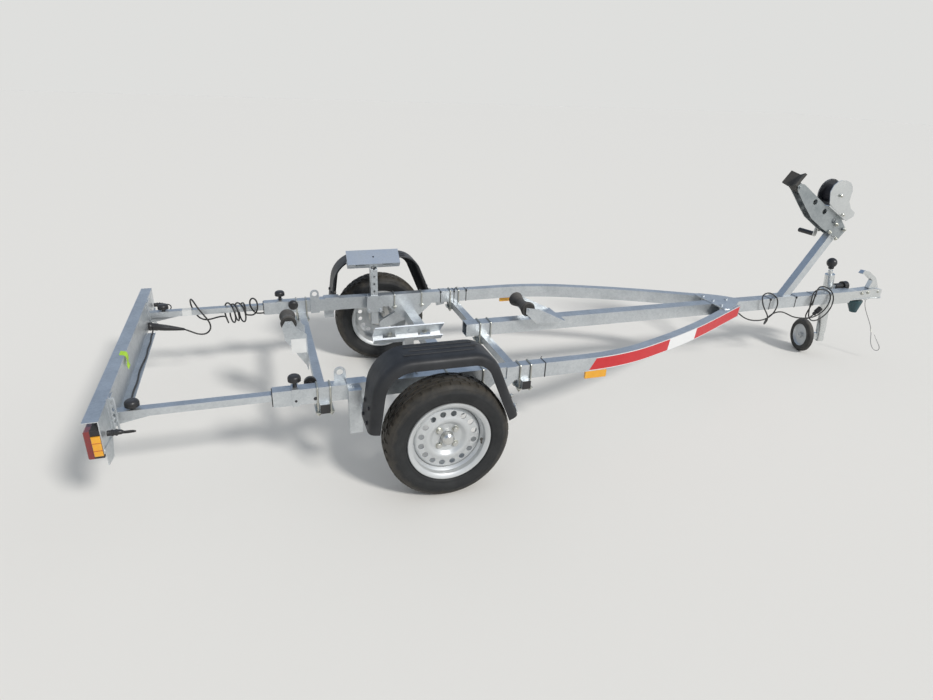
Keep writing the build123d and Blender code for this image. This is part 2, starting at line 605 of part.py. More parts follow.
side_view = plate_xz([(hr + 20, head_z0), (hr + 20, head_z1 - 4), (hr + 70, head_z1 - 6), (hr + 205, head_z1),
                      (nose_reach - 26, head_z1 - 6), (nose_reach - 6, head_z1 - 22), (nose_reach + 9, head_z0)],
                     -90, 90)
coupling = side_view & (Pos(0, 0, head_z0 - 5) * extrude(head_plan(0), 100))
coupling += Pos(0, 0, head_z0) * extrude(head_plan(head_lip_w) & Pos(AX + nose_reach - head_len, 0) * Rectangle(2 * head_len, 4 * nose_half), head_lip_t)
coupling += block(AX + tab_x - tab_w / 2, AX + tab_x + tab_w / 2, -tab_t / 2, tab_t / 2, tab_low, head_z0)
coupling -= Pos(AX + ball_x, 0, head_z0 + socket_depth) * Sphere(ball_r)
coupling -= rod((AX + ball_x, 0, head_z0 - 10), (AX + ball_x, 0, head_z0 + socket_depth), ball_r)
save("coupling_head", mount + coupling)

handle_half = 16
handle_outline = [(74, 593), (91, 616), (139, 606), (211, 561), (256, 494), (250, head_z1 + seat_gap), (172, head_z1 + seat_gap), (188, 541), (121, 587)]
save("coupling_handle", plate_xz([(hr + x, z) for x, z in handle_outline], -handle_half, handle_half, 3))

holder_x = hr + 100
holder_z, holder_h, holder_top_r, holder_low_r, holder_bore_r = 400, 78, 48, 22, 16
holder_lean = 14             # how far forward the low end sits
holder = Plane(origin=(AX + holder_x, 0, holder_z)) * Circle(holder_top_r)
holder_low = Plane(origin=(AX + holder_x + holder_lean, 0, holder_z - holder_h)) * Circle(holder_low_r)
plug_holder = loft([holder_low, holder])
plug_holder += rod((AX + holder_x, 0, holder_z), (AX + holder_x, 0, holder_z + 8), holder_top_r)
plug_holder += rod((AX + holder_x, 0, holder_z + 8), (AX + holder_x, 0, head_z0 - seat_gap), holder_low_r)
plug_holder -= rod((AX + holder_x + holder_lean, 0, holder_z - holder_h - 1),
                   (AX + holder_x + holder_lean, 0, holder_z - 28), holder_bore_r)
save("plug_holder", plug_holder)

# jockey wheel: leaning tube clamped to the drawbar's left side
jockey_y = 90
jockey_x, jockey_z = 2941.8, 445       # where the tube passes its clamp
jockey_lean = 8.5                      # degrees, top leaning back
tube_r, leg_r = 30, 26.5
tube_low_z, tube_top_z = 152, 571
jw_r, jw_half = 115, 21
jockey_pin_r = 8
wheel_x, wheel_y = 2886, 144           # wheel centre; its height is its radius
wheel_dir = Vector(-0.97, 0.243, 0).normalized()
leg_top_gap = 22
fork_h, fork_w = 42, 30

lean_r = radians(jockey_lean)
tube_dir = Vector(-sin(lean_r), 0, cos(lean_r))


def on_tube(z, off=0):
    """Point on the tube's axis at height z."""
    s = (z - jockey_z) / cos(lean_r) + off
    return Vector(AX + jockey_x, jockey_y, jockey_z) + tube_dir * s


def tube_rod(z0, z1, r, off0=0, off1=0):
    return rod(on_tube(z0, off0), on_tube(z1, off1), r)


clamp_h, clamp_len, clamp_lug_t = 46, 84, 3
clamp_y = bar_w / 2 + mount_wall
grip_neck_r, grip_neck_len, grip_ball_r, grip_len = 20, 66, 31, 100
jockey_clamp = block(AX + jockey_x - clamp_len / 2, AX + jockey_x + clamp_len / 2, clamp_y, jockey_y + tube_r + 8,
                     jockey_z - clamp_h / 2, jockey_z + clamp_h / 2)
jockey_clamp -= tube_rod(jockey_z - 60, jockey_z + 60, tube_r)
grip_z = jockey_z + clamp_h / 2 + 14
grip_x = AX + jockey_x + clamp_len / 2 + clamp_lug_t
grip_y = jockey_y - 4
jockey_clamp += block(grip_x - clamp_lug_t, grip_x, grip_y - 12, grip_y + 12, jockey_z - clamp_h / 2, grip_z + 12)
save("jockey_clamp", jockey_clamp)
clamp_grip = rod((grip_x, grip_y, grip_z), (grip_x + grip_neck_len, grip_y, grip_z), grip_neck_r)
clamp_grip += rod((grip_x + grip_neck_len, grip_y, grip_z), (grip_x + grip_len, grip_y, grip_z), grip_ball_r)
save("jockey_clamp_grip", clamp_grip)

outer = tube_rod(tube_low_z, tube_top_z, tube_r)
outer -= tube_rod(tube_low_z - 5, tube_top_z, leg_r + fit_gap, 0, -4)
save("jockey_tube", outer)

crank_top = on_tube(tube_top_z, 26)
jockey_crank = rod(on_tube(tube_top_z), crank_top, 15)
knob_c = on_tube(tube_top_z, 80)
jockey_crank += rod(crank_top, on_tube(tube_top_z, 30), 7)
jockey_crank += rod(on_tube(tube_top_z, 26), on_tube(tube_top_z, 40), 10)
save("jockey_crank", jockey_crank)
jockey_knob = rod(on_tube(tube_top_z, 40), knob_c, 17) + Pos(*knob_c) * Sphere(32)
save("jockey_knob", jockey_knob)

leg_top = -leg_top_gap - 16
save("jockey_spindle_nut", tube_rod(tube_top_z, tube_top_z, leg_r, leg_top + seat_gap, -leg_top_gap))
leg = tube_rod(88, tube_top_z, leg_r, 0, leg_top)
wc = Vector(AX + wheel_x, wheel_y, jw_r)
foot = on_tube(jw_r)
fork_end = wc - wheel_dir * 34
reach = fork_end - foot
fork = Plane(origin=(foot + fork_end) / 2, x_dir=reach, z_dir=(0, 0, 1)) * Box(reach.length, fork_w, fork_h)
fork = fillet(fork.edges().filter_by(Axis.Z), 4)
leg += fork + rod((wc - wheel_dir * 48), (wc - wheel_dir * 26), 18)
leg += rod((wc - wheel_dir * 34), (wc + wheel_dir * 30), jockey_pin_r)
save("jockey_leg", leg)
wheel_plane = Plane(origin=wc, x_dir=(0, 0, 1), z_dir=wheel_dir)
lay = wheel_plane * Rot(-90, 0, 0)
jt = jw_half
save("jockey_tyre", lay * ring_solid([(76, -jt + 3), (100, -jt), (108, -jt + 4), (jw_r - 1, -jt + 11), (jw_r, 0), (jw_r - 1, jt - 11),
                                      (108, jt - 4), (100, jt), (76, jt - 3)]))
save("jockey_rim", lay * ring_solid([(jockey_pin_r + fit_gap, -24), (20, -24), (20, -6), (66, -6), (75.7, -17), (75.7, 17), (66, 6),
                                     (20, 6), (20, 24), (jockey_pin_r + fit_gap, 24)]))

# light board with its lamps
arm_w, arm_h = 38, 30
arm_z = 451
arm_in = 380             # arm length inside the rail
lamp_w, lamp_low, lamp_head = 230, 15, 36
lens_t = 22
lip_right, lip_left = 500, 400         # ends of the board's low lip
lamp_bracket_t = 3
bx = AX + board_web_x
board = block(bx - board_t, bx, -board_half, board_half, board_z0, board_z1)
board += block(bx - board_top_w, bx, -board_half, board_half, board_z1 - board_t, board_z1)
board += block(bx - board_t, bx + board_low_w, -lip_right, lip_left, board_z0, board_z0 + board_t)
save("light_board", board)
lamps, lenses = [], []
for name, side in sides:
    ys = span(side, board_half - 1, board_half - lamp_w)
    lamps.append(block(AX - tail_reach + lens_t, bx - board_t, *ys, board_z0 - lamp_low, board_z1 - lamp_head))
    lens = block(AX - tail_reach, AX - tail_reach + lens_t, *ys, board_z0 - lamp_low, board_z1 - lamp_head)
    lenses.append(fillet(lens.faces().sort_by(Axis.X)[0].edges(), 7))
save("rear_lamps", *lamps)
save("lamp_lenses", *lenses)

# arms, slotted bars and lamp brackets of the board, guides in the rails' mouths, clamps, eyes
foot_plate = 6
slot_bar_x0, slot_bar_w, slot_bar_t = 6, 24, 5
slot_len, slot_w, slot_count = 22, 8, 4
guide_lip, guide_len = 4, 60           # guide outside and inside the rail's mouth
arms_made, guides, clamps, eyes, bars, knobs, board_knobs = [], [], [], [], [], [], []
clamp_x, side_knob_x, board_knob_x = -600, -533, -1205
knob_r, knob_h, knob_round, knob_neck_r = 27, 26, 14, 9
knob_reach = 32                        # from the clamped face to the knob's underside
side_knob_z, side_knob_reach = 468, 24
eye_x, eye_w, eye_t, eye_r, eye_hole_z = -411, 50, 6, 14, 516


def clamp_knob(neck, reach):
    """Round knob on a threaded neck that stands on the origin, pointing up."""
    dome = Pos(0, 0, reach + knob_h / 2) * Cylinder(knob_r, knob_h)
    dome = fillet(dome.faces().sort_by(Axis.Z)[-1].edges(), knob_round)
    return dome + Pos(0, 0, (neck + reach) / 2) * Cylinder(knob_neck_r, reach - neck)


for name, side in sides:
    yc = side * rail_y
    y0, y1 = yc - arm_w / 2, yc + arm_w / 2
    arm = block(bx, AX - rail_rear + arm_in, y0, y1, arm_z - arm_h / 2, arm_z + arm_h / 2)
    arm += block(bx, bx + foot_plate, yc - 30, yc + 30, board_z0 + board_t, board_z1 - 5)
    gx = board_web_x
    arm += plate_xz([(gx, board_z0 + board_t), (gx + 170, arm_z - arm_h / 2), (gx, arm_z - arm_h / 2)], yc - 3, yc + 3)
    arms_made.append(arm)

    bar_y = rail_y + 30
    bar = block(bx, bx + slot_bar_t, *span(side, bar_y, bar_y + slot_bar_w), board_z0 + board_t, board_z1 + 10)
    for i in range(slot_count):
        z = board_z0 + 28 + i * 30
        bar -= Pos(bx, side * (bar_y + slot_bar_w / 2), z) * Box(30, slot_w, slot_len)
    bars.append(bar)
    lamp_plate = outline_face([(board_half, board_z0 + 20), (board_half - 136, board_z0), (board_half - 96, board_z0 - 70),
                               (board_half - 11, board_z0 - 55)], 6)
    lamp_plate = Pos(bx, 0, 0) * (Plane.YZ * extrude(lamp_plate, lamp_bracket_t))
    bars.append(lamp_plate if side > 0 else mirrored(lamp_plate))

    x0 = AX - rail_rear
    guide = block(x0 - guide_lip, x0 + guide_len, yc - rail_w / 2 + tube_wall, yc + rail_w / 2 - tube_wall, rail_z0 + tube_wall, rail_z1 - tube_wall)
    guide -= block(x0 - 2 * guide_lip, x0 + guide_len + 10, y0 - fit_gap, y1 + fit_gap, arm_z - arm_h / 2 - fit_gap, arm_z + arm_h / 2 + fit_gap)
    guides.append(guide)

    kx = AX + clamp_x
    strap = block(kx - 15, kx + 15, yc - rail_w / 2 - 4, yc + rail_w / 2 + 4, rail_z0 - 4, rail_z1 + 4)
    strap -= block(kx - 20, kx + 20, yc - rail_w / 2, yc + rail_w / 2, rail_z0, rail_z1)
    clamps.append(strap)
    knobs.append(Pos(kx, yc, rail_z1) * clamp_knob(4 + seat_gap, knob_reach))
    knobs.append(Pos(AX + side_knob_x, side * rail_in, side_knob_z) * (Rot(side * 90, 0, 0) * clamp_knob(seat_gap, side_knob_reach)))
    arm_top = arm_z + arm_h / 2
    board_knobs.append(Pos(AX + board_knob_x, yc, arm_top) * clamp_knob(seat_gap, 12))

    ex = AX + eye_x
    ya, yb = span(side, rail_in - eye_t, rail_in)
    eye = block(ex - eye_w / 2, ex + eye_w / 2, ya, yb, rail_z0 - 8, eye_hole_z)
    eye += rod((ex, ya, eye_hole_z), (ex, yb, eye_hole_z), eye_w / 2)
    eyes.append(eye - rod((ex, ya - 5, eye_hole_z), (ex, yb + 5, eye_hole_z), eye_r))
save("board_arms", *arms_made)
save("board_brackets", *bars)
save("arm_guides", *guides)
save("arm_clamps", *clamps)
save("arm_clamp_knobs", *knobs)
save("board_knobs", *board_knobs)
save("tie_down_eyes", *eyes)

# side reflectors under the rails
refl_x, refl_len, refl_h, refl_t = 747, 114, 38, 12
save("side_reflectors", *[block(AX + refl_x, AX + refl_x + refl_len, *span(side, rail_out - refl_t, rail_out),
                                rail_z0 - refl_h, rail_z0) for name, side in sides])

# cables: each route is a list of points (along, across, up), joined by arcs as large as their runs allow
cable_d, rear_cable_d, safety_d = 8, 7, 4


def cord_tube(name, points, d):
    points = [Vector(AX + x, y, z) for x, y, z in points]
    runs = [b - a for a, b in zip(points, points[1:])]
    radii = []
    for a, b in zip(runs, runs[1:]):
        radii.append(0.45 * min(a.length, b.length) / tan(radians(a.get_angle(b)) / 2))
    route = FilletPolyline(*points, radius=radii)
    tube = sweep(Plane(origin=route @ 0, z_dir=route % 0) * Circle(d / 2), path=route)
    filled = tube.volume / (pi * d * d / 4 * route.length)
    print(name, "length", round(route.length), "tightest", round(min(radii)), "volume ratio", round(filled, 4))
    return tube


# cable along the drawbar: out of the right rail's open tip, one loop over the bar, under it,
# two turns over it again, and into the plug
drawbar_route = [
    (2024, -84, 440), (2060, -67, 431), (2094, -60, 408), (2132, -57, 382), (2182, -56, 360), (2240, -56, 349),
    (2298, -55, 349), (2346, -56, 367), (2375, -57, 405), (2385, -56, 450), (2374, -47, 490), (2343, -26, 515),
    (2303, -20, 516), (2268, -33, 500), (2260, -55, 466), (2275, -66, 429), (2301, -73, 394), (2320, -68, 358),
    (2329, -50, 326), (2343, -25, 304), (2366, -4, 306), (2387, 5, 328), (2404, -4, 358), (2428, -20, 380),
    (2462, -36, 384), (2500, -46, 367), (2540, -49, 349), (2586, -50, 338), (2638, -50, 331), (2694, -51, 329),
    (2748, -53, 344), (2790, -55, 377), (2813, -55, 420), (2818, -52, 464), (2802, -40, 500), (2766, -24, 512),
    (2722, -20, 510), (2684, -31, 498), (2663, -48, 466), (2657, -54, 424), (2655, -58, 378), (2664, -62, 336),
    (2696, -64, 312), (2742, -64, 314), (2788, -64, 338), (2822, -64, 376), (2838, -62, 422), (2838, -54, 468),
    (2820, -36, 508), (2780, -22, 528), (2740, -21, 532), (2706, -33, 520), (2687, -47, 486), (2680, -48, 440),
    (2674, -42, 398), (2670, -32, 358), (2680, -22, 326), (2704, -14, 308), (2735, -10, 312), (2760, -10, 334)]
save("drawbar_cable", cord_tube("drawbar_cable", drawbar_route, cable_d))
plug_r, plug_grip_r, plug_len, plug_neck = 17, 12, 60, 22
plug_seat = Vector(*drawbar_route[-1]) + Vector(AX, 0, 0)
plug_dir = (Vector(*drawbar_route[-1]) - Vector(*drawbar_route[-2])).normalized()
cable_plug = rod(plug_seat, plug_seat + plug_dir * plug_neck, plug_grip_r)
cable_plug += rod(plug_seat + plug_dir * plug_neck, plug_seat + plug_dir * plug_len, plug_r)
save("cable_plug", cable_plug)

# springy safety cable under the coupling, its end laid back in an eye
safety_route = [
    (tab_x, 0, tab_low - seat_gap), (3205, -2, 370), (3216, -9, 336), (3231, -20, 300), (3247, -33, 263), (3261, -46, 227),
    (3269, -58, 192), (3267, -70, 157), (3263, -82, 122), (3266, -96, 92), (3275, -112, 70), (3287, -128, 66),
    (3294, -138, 80), (3291, -134, 102), (3283, -119, 126), (3277, -101, 150), (3274, -84, 174)]
save("safety_cable", cord_tube("safety_cable", safety_route, safety_d))

# cable of the lamps: along the board's low lip, through a tapered sleeve, over the left arm,
# coiled round it, and through one more loop into the rail's mouth
coil_x0, coil_x1 = -893.5, -790.5
coil_z, coil_hole_y, coil_hole_z, coil_t = 428, 38, 47, 15
sleeve_from, sleeve_to = (board_web_x, 470, 414), (-1112, 508, 368)
sleeve_r0, sleeve_r1 = 22, 7
near_side = (rail_y - coil_hole_y - coil_t / 2, coil_z)
lip_z = board_z0 + board_t + rear_cable_d / 2 + seat_gap
lip_route = [(-1254, 453, lip_z + 1), (-1249, 400, lip_z), (-1251, 336, lip_z), (-1244, 262, lip_z), (-1248, 180, lip_z),
             (-1242, 92, lip_z), (-1249, 0, lip_z), (-1252, -92, lip_z), (-1245, -184, lip_z), (-1250, -276, lip_z),
             (-1246, -356, lip_z), (-1248, -424, lip_z + 4), (-1243, -474, lip_z + 19)]
tail_route = [sleeve_to, (-1080, 515, 348), (-1044, 517, 328), (-1004, 514, 328), (-977, 512, 358), (-981, 510, 400),
              (-1005, 509, 440), (-1030, 513, 480), (-1048, 530, 512), (-1062, 560, 521), (-1072, 590, 503),
              (-1072, 608, 464), (-1056, 602, 424), (-1034, 574, 402), (-1002, 542, 400), (-966, 520, 412),
              (-930, 508, 426), (coil_x0, *near_side)]
loop_route = [(coil_x1, *near_side), (-762, 506, 426), (-730, 505, 427), (-702, 507, 444), (-690, 511, 474), (-702, 514, 505),
              (-733, 514, 519), (-765, 514, 507), (-779, 514, 476), (-769, 516, 445), (-746, 524, 424), (-721, 535, 418),
              (-rail_rear - guide_lip - 2 * seat_gap, 538, 419)]
sleeve_axis = Vector(*sleeve_to) - Vector(*sleeve_from)
sleeve_big = Plane(origin=(AX + sleeve_from[0], *sleeve_from[1:]), x_dir=(0, 1, 0), z_dir=(1, 0, 0)) * Circle(sleeve_r0)
sleeve_small = Plane(origin=(AX + sleeve_to[0], *sleeve_to[1:]), z_dir=sleeve_axis) * Circle(sleeve_r1)
save("arm_cable", cord_tube("lip cable", lip_route, rear_cable_d), loft([sleeve_big, sleeve_small]),
     cord_tube("arm cable", tail_route, rear_cable_d), cord_tube("end loop", loop_route, rear_cable_d))
coil = Plane(origin=(AX + coil_x0, rail_y, coil_z), x_dir=(0, 1, 0), z_dir=(1, 0, 0)) * (
    Ellipse(coil_hole_y + coil_t, coil_hole_z + coil_t) - Ellipse(coil_hole_y, coil_hole_z))
save("arm_cable_coil", extrude(coil, coil_x1 - coil_x0))
print("overall length", nose_reach + tail_reach, "rail tip", rail_tip_x)
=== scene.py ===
# %% [markdown]
# A boat trailer, dressed for the camera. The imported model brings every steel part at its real
# size. This lesson gives each of them its finish, and adds what is too fine for the CAD model:
# tyre tread, bolts, straps, cables and reflective tape. Everything is in metres.

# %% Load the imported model
import bpy
from math import sin, cos, tan, pi, radians, atan2, hypot
from mathutils import Matrix, Vector


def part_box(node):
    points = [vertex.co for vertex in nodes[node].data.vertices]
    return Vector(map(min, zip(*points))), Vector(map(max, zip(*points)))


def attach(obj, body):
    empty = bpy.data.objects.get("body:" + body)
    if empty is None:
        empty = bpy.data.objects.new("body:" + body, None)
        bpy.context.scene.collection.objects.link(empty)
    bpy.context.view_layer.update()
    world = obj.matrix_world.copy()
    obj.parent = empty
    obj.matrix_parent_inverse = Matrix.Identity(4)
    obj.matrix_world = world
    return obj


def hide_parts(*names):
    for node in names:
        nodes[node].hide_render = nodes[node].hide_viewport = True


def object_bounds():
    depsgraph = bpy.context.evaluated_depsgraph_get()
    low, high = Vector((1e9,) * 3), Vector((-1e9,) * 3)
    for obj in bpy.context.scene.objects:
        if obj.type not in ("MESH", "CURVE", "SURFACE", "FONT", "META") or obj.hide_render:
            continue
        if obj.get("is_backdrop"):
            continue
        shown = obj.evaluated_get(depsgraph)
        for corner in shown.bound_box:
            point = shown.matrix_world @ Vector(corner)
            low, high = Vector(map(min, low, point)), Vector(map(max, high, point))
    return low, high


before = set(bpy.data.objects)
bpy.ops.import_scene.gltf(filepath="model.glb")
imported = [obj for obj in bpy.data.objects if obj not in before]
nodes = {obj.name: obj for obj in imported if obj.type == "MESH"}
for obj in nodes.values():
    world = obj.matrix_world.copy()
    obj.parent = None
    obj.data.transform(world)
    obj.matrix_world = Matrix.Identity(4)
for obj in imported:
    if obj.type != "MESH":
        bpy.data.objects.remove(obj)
cad_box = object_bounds()
MM = 0.001
SIDES = (("left", 1), ("right", -1))


def middle(node):
    low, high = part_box(node)
    return (Vector(low) + Vector(high)) / 2


axle = middle("tyre_left")
axle_x = axle.x
print("axle line at x", round(axle_x, 4), "wheel radius", round(axle.z, 4))

# %% [markdown]
# The camera comes first, because every later choice is judged through it. The photograph was
# taken from standing height on the trailer's right, a little behind its wheel, looking across
# it, a little forward and down. The camera was held a little askew. Its place, yaw, pitch and
# roll are solved values.

# %% Camera
scene = bpy.context.scene
picture_w = 933
focal_px = 619.45
camera_at = Vector((axle_x - 0.6891, -2.9242, 1.6835))
yaw, pitch, roll = radians(19.355), radians(23.80), radians(2.472)

forward = Vector((sin(yaw) * cos(pitch), cos(yaw) * cos(pitch), -sin(pitch)))
level_right = Vector((cos(yaw), -sin(yaw), 0))
level_up = level_right.cross(forward)
right = level_right * cos(roll) + level_up * sin(roll)
up = level_up * cos(roll) - level_right * sin(roll)

lens = bpy.data.cameras.new("photo_camera")
lens.sensor_fit = "HORIZONTAL"
lens.sensor_width = 36
lens.lens = focal_px / picture_w * lens.sensor_width
camera = bpy.data.objects.new("photo_camera", lens)
scene.collection.objects.link(camera)
turn = Matrix((right, up, -forward)).transposed()
camera.matrix_world = Matrix.Translation(camera_at) @ turn.to_4x4()
scene.camera = camera
scene.view_settings.view_transform = "Standard"
print("lens", round(lens.lens, 2), "mm")

# %% [markdown]
# A plain pale floor catches the shadow. It is one big plane, marked as stage, because it isn't
# part of the trailer. Its paint is dull, so that it mirrors hardly anything.

# %% Floor
floor_size = 80
floor_pale = (0.80, 0.79, 0.77, 1)


def shader_of(material):
    return material.node_tree.nodes["Principled BSDF"]


bpy.ops.object.select_all(action="DESELECT")
bpy.ops.mesh.primitive_plane_add(size=floor_size, location=(0, 0, 0))
floor = bpy.context.object
floor.name = "floor"
paint = bpy.data.materials.new("floor_paint")
paint.use_nodes = True
shader_of(paint).inputs["Base Color"].default_value = floor_pale
shader_of(paint).inputs["Roughness"].default_value = 0.9
shader_of(paint).inputs["Specular IOR Level"].default_value = 0.1
floor.data.materials.append(paint)
floor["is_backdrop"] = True
print("floor", floor_size, "m wide")

# %% [markdown]
# Node trees are built in code here, so three small tools come first. One feeds a socket with a
# value or a link, one adds a node with its settings and inputs, and one fills a colour ramp.

# %% Node tools
def feed(tree, socket, value):
    """A socket takes a plain value, or a link from another node's output."""
    if isinstance(value, bpy.types.NodeSocket):
        tree.links.new(value, socket)
    else:
        socket.default_value = value


def add_node(tree, kind, inputs=(), **settings):
    """A new node with some settings, and a value or a link for each input named."""
    node = tree.nodes.new("ShaderNode" + kind)
    for name, value in settings.items():
        setattr(node, name, value)
    for name, value in dict(inputs).items():
        feed(tree, node.inputs[name], value)
    return node


def fill_ramp(node, first, last, between=()):
    """Each stop is a position and a colour."""
    stops = node.color_ramp.elements
    stops[0].position, stops[0].color = first
    stops[1].position, stops[1].color = last
    for position, tone in between:
        stops.new(position).color = tone


print("node tools ready")

# %% [markdown]
# The world lights the trailer as a plain pale sky. The camera sees a pale grey there instead,
# close to the lit floor, so that floor and background meet softly. Metal is only as good as
# what it mirrors, so a ray that bounces off gloss sees a pale horizon under a blue sky. That is
# what puts the cool blue on the upward faces.

# %% World
sky_light, sky_strength = (0.92, 0.96, 1.0, 1), 0.52
backdrop = (0.735, 0.737, 0.723, 1)
horizon, zenith = (0.0, (0.86, 0.87, 0.87, 1)), (0.8, (0.16, 0.25, 0.42, 1))
low_sky, mid_sky = (0.15, (0.70, 0.75, 0.80, 1)), (0.34, (0.30, 0.38, 0.50, 1))

world = scene.world or bpy.data.worlds.new("studio")
scene.world = world
world.use_nodes = True
tree = world.node_tree
tree.nodes.clear()
rays = add_node(tree, "LightPath").outputs
look = add_node(tree, "TexCoord").outputs["Generated"]
height = add_node(tree, "SeparateXYZ", {0: look}).outputs["Z"]
sky = add_node(tree, "ValToRGB", {"Fac": height})
fill_ramp(sky, horizon, zenith, (low_sky, mid_sky))
lamp_part = add_node(tree, "Background", {"Color": sky_light, "Strength": sky_strength})
seen_part = add_node(tree, "Background", {"Color": backdrop, "Strength": 1.0})
mirror_part = add_node(tree, "Background", {"Color": sky.outputs["Color"]})
lit = add_node(tree, "MixShader", {"Fac": rays["Is Glossy Ray"], 1: lamp_part.outputs[0],
                                   2: mirror_part.outputs[0]})
seen = add_node(tree, "MixShader", {"Fac": rays["Is Camera Ray"], 1: lit.outputs[0],
                                    2: seen_part.outputs[0]})
add_node(tree, "OutputWorld", {"Surface": seen.outputs[0]})
print("world", len(tree.nodes), "nodes")

# %% [markdown]
# One soft sun stands ahead of the trailer on its near side, as the shadows in the photograph
# show. So the near faces are lit, and the shadows lie beyond the trailer and a little behind.

# %% Sun
sun_from = Vector((0.60, -1.14, 1.0))
sunlight = bpy.data.lights.new("soft_sun", "SUN")
sunlight.energy = 2.35
sunlight.angle = radians(9)
sunlight.color = (1.0, 0.97, 0.92)
sun = bpy.data.objects.new("soft_sun", sunlight)
scene.collection.objects.link(sun)
sun.rotation_euler = sun_from.to_track_quat("Z", "Y").to_euler()
print("sun at", [round(v, 2) for v in sun_from.normalized()])

# %% [markdown]
# The cables come next. Each is one smooth line through a short list of points, so it
# curves as a real cable does, with no straight piece between two bends. A bevel round that
# line makes the cable itself. The bevel is one metre and each point's radius, a small part of
# that, gives the real thickness, so that the curve's bounds stay tight.

# %% Cable tools
def from_axle(points):
    """Points given ahead of the axle line, moved into the frame."""
    return [(axle_x + x, y, z) for x, y, z in points]


def cord_curve(name, points, diameter):
    curve = bpy.data.curves.new(name, "CURVE")
    curve.dimensions = "3D"
    spline = curve.splines.new("NURBS")
    spline.points.add(len(points) - 1)
    for place, point in zip(spline.points, points):
        place.co = (*point, 1)
        place.radius = diameter / 2
    spline.order_u = 3
    spline.use_endpoint_u = True
    curve.resolution_u = 6
    curve.bevel_depth = 1
    curve.bevel_resolution = 4
    curve.use_fill_caps = True
    cord = bpy.data.objects.new(name, curve)
    scene.collection.objects.link(cord)
    return cord


def line_length(cord):
    """Length of a cord's middle line, read from the curve with its bevel off."""
    depth, cord.data.bevel_depth = cord.data.bevel_depth, 0
    line = bpy.data.meshes.new_from_object(cord)
    cord.data.bevel_depth = depth
    ends = [[line.vertices[i].co for i in edge.vertices] for edge in line.edges]
    total = sum((a - b).length for a, b in ends)
    bpy.data.meshes.remove(line)
    return total


print("cable tools ready")

# %% [markdown]
# The drawbar cable leaves the open end of the right rail, makes one loop over the bar, dips
# under it, lies over it in two more turns and ends in its plug.

# %% Drawbar cable
cable_d = 0.008
drawbar_route = from_axle([
    (2.024, -0.084, 0.44), (2.06, -0.067, 0.431), (2.094, -0.06, 0.408),
    (2.132, -0.057, 0.382), (2.182, -0.056, 0.36), (2.24, -0.056, 0.349),
    (2.298, -0.055, 0.349), (2.346, -0.056, 0.367), (2.375, -0.057, 0.405),
    (2.385, -0.056, 0.45), (2.374, -0.047, 0.49), (2.343, -0.026, 0.515),
    (2.303, -0.02, 0.516), (2.268, -0.033, 0.5), (2.26, -0.055, 0.466),
    (2.275, -0.066, 0.429), (2.301, -0.073, 0.394), (2.32, -0.068, 0.358),
    (2.329, -0.05, 0.326), (2.343, -0.025, 0.304), (2.366, -0.004, 0.306),
    (2.387, 0.005, 0.328), (2.404, -0.004, 0.358), (2.428, -0.02, 0.38),
    (2.462, -0.036, 0.384), (2.5, -0.046, 0.367), (2.54, -0.049, 0.349),
    (2.586, -0.05, 0.338), (2.638, -0.05, 0.331), (2.694, -0.051, 0.329),
    (2.748, -0.053, 0.344), (2.79, -0.055, 0.377), (2.813, -0.055, 0.42),
    (2.818, -0.052, 0.464), (2.802, -0.04, 0.5), (2.766, -0.024, 0.512),
    (2.722, -0.02, 0.51), (2.684, -0.031, 0.498), (2.663, -0.048, 0.466),
    (2.657, -0.054, 0.424), (2.655, -0.058, 0.378), (2.664, -0.062, 0.336),
    (2.696, -0.064, 0.312), (2.742, -0.064, 0.314), (2.788, -0.064, 0.338),
    (2.822, -0.064, 0.376), (2.838, -0.062, 0.422), (2.838, -0.054, 0.468),
    (2.82, -0.036, 0.508), (2.78, -0.022, 0.528), (2.74, -0.021, 0.532),
    (2.706, -0.033, 0.52), (2.687, -0.047, 0.486), (2.68, -0.048, 0.44),
    (2.674, -0.042, 0.398), (2.67, -0.032, 0.358), (2.68, -0.022, 0.326),
    (2.704, -0.014, 0.308), (2.735, -0.01, 0.312), (2.76, -0.01, 0.334),
])
drawbar_cable = cord_curve("drawbar_cable_line", drawbar_route, cable_d)
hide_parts("drawbar_cable")
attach(drawbar_cable, "frame")
line_length(drawbar_cable)
print("drawbar cable", round(line_length(drawbar_cable), 3), "m")

# %% [markdown]
# The safety cable is thin springy steel. It hangs from the tab under the coupling and its end
# comes back up in an eye.

# %% Safety cable
safety_d = 0.004
safety_route = from_axle([
    (3.202, 0, 0.3977), (3.205, -0.002, 0.37), (3.216, -0.009, 0.336),
    (3.231, -0.02, 0.3), (3.247, -0.033, 0.263), (3.261, -0.046, 0.227),
    (3.269, -0.058, 0.192), (3.267, -0.07, 0.157), (3.263, -0.082, 0.122),
    (3.266, -0.096, 0.092), (3.275, -0.112, 0.07), (3.287, -0.128, 0.066),
    (3.294, -0.138, 0.08), (3.291, -0.134, 0.102), (3.283, -0.119, 0.126),
    (3.277, -0.101, 0.15), (3.274, -0.084, 0.174),
])
safety_cable = cord_curve("safety_cable_line", safety_route, safety_d)
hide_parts("safety_cable")
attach(safety_cable, "frame")
line_length(safety_cable)
print("safety cable", round(line_length(safety_cable), 3), "m")

# %% [markdown]
# A thin lamp cable lies on the light board's low lip. It wanders by a few millimetres along
# the lip, as a cable does that nothing pulls straight, and lifts a little at both ends.

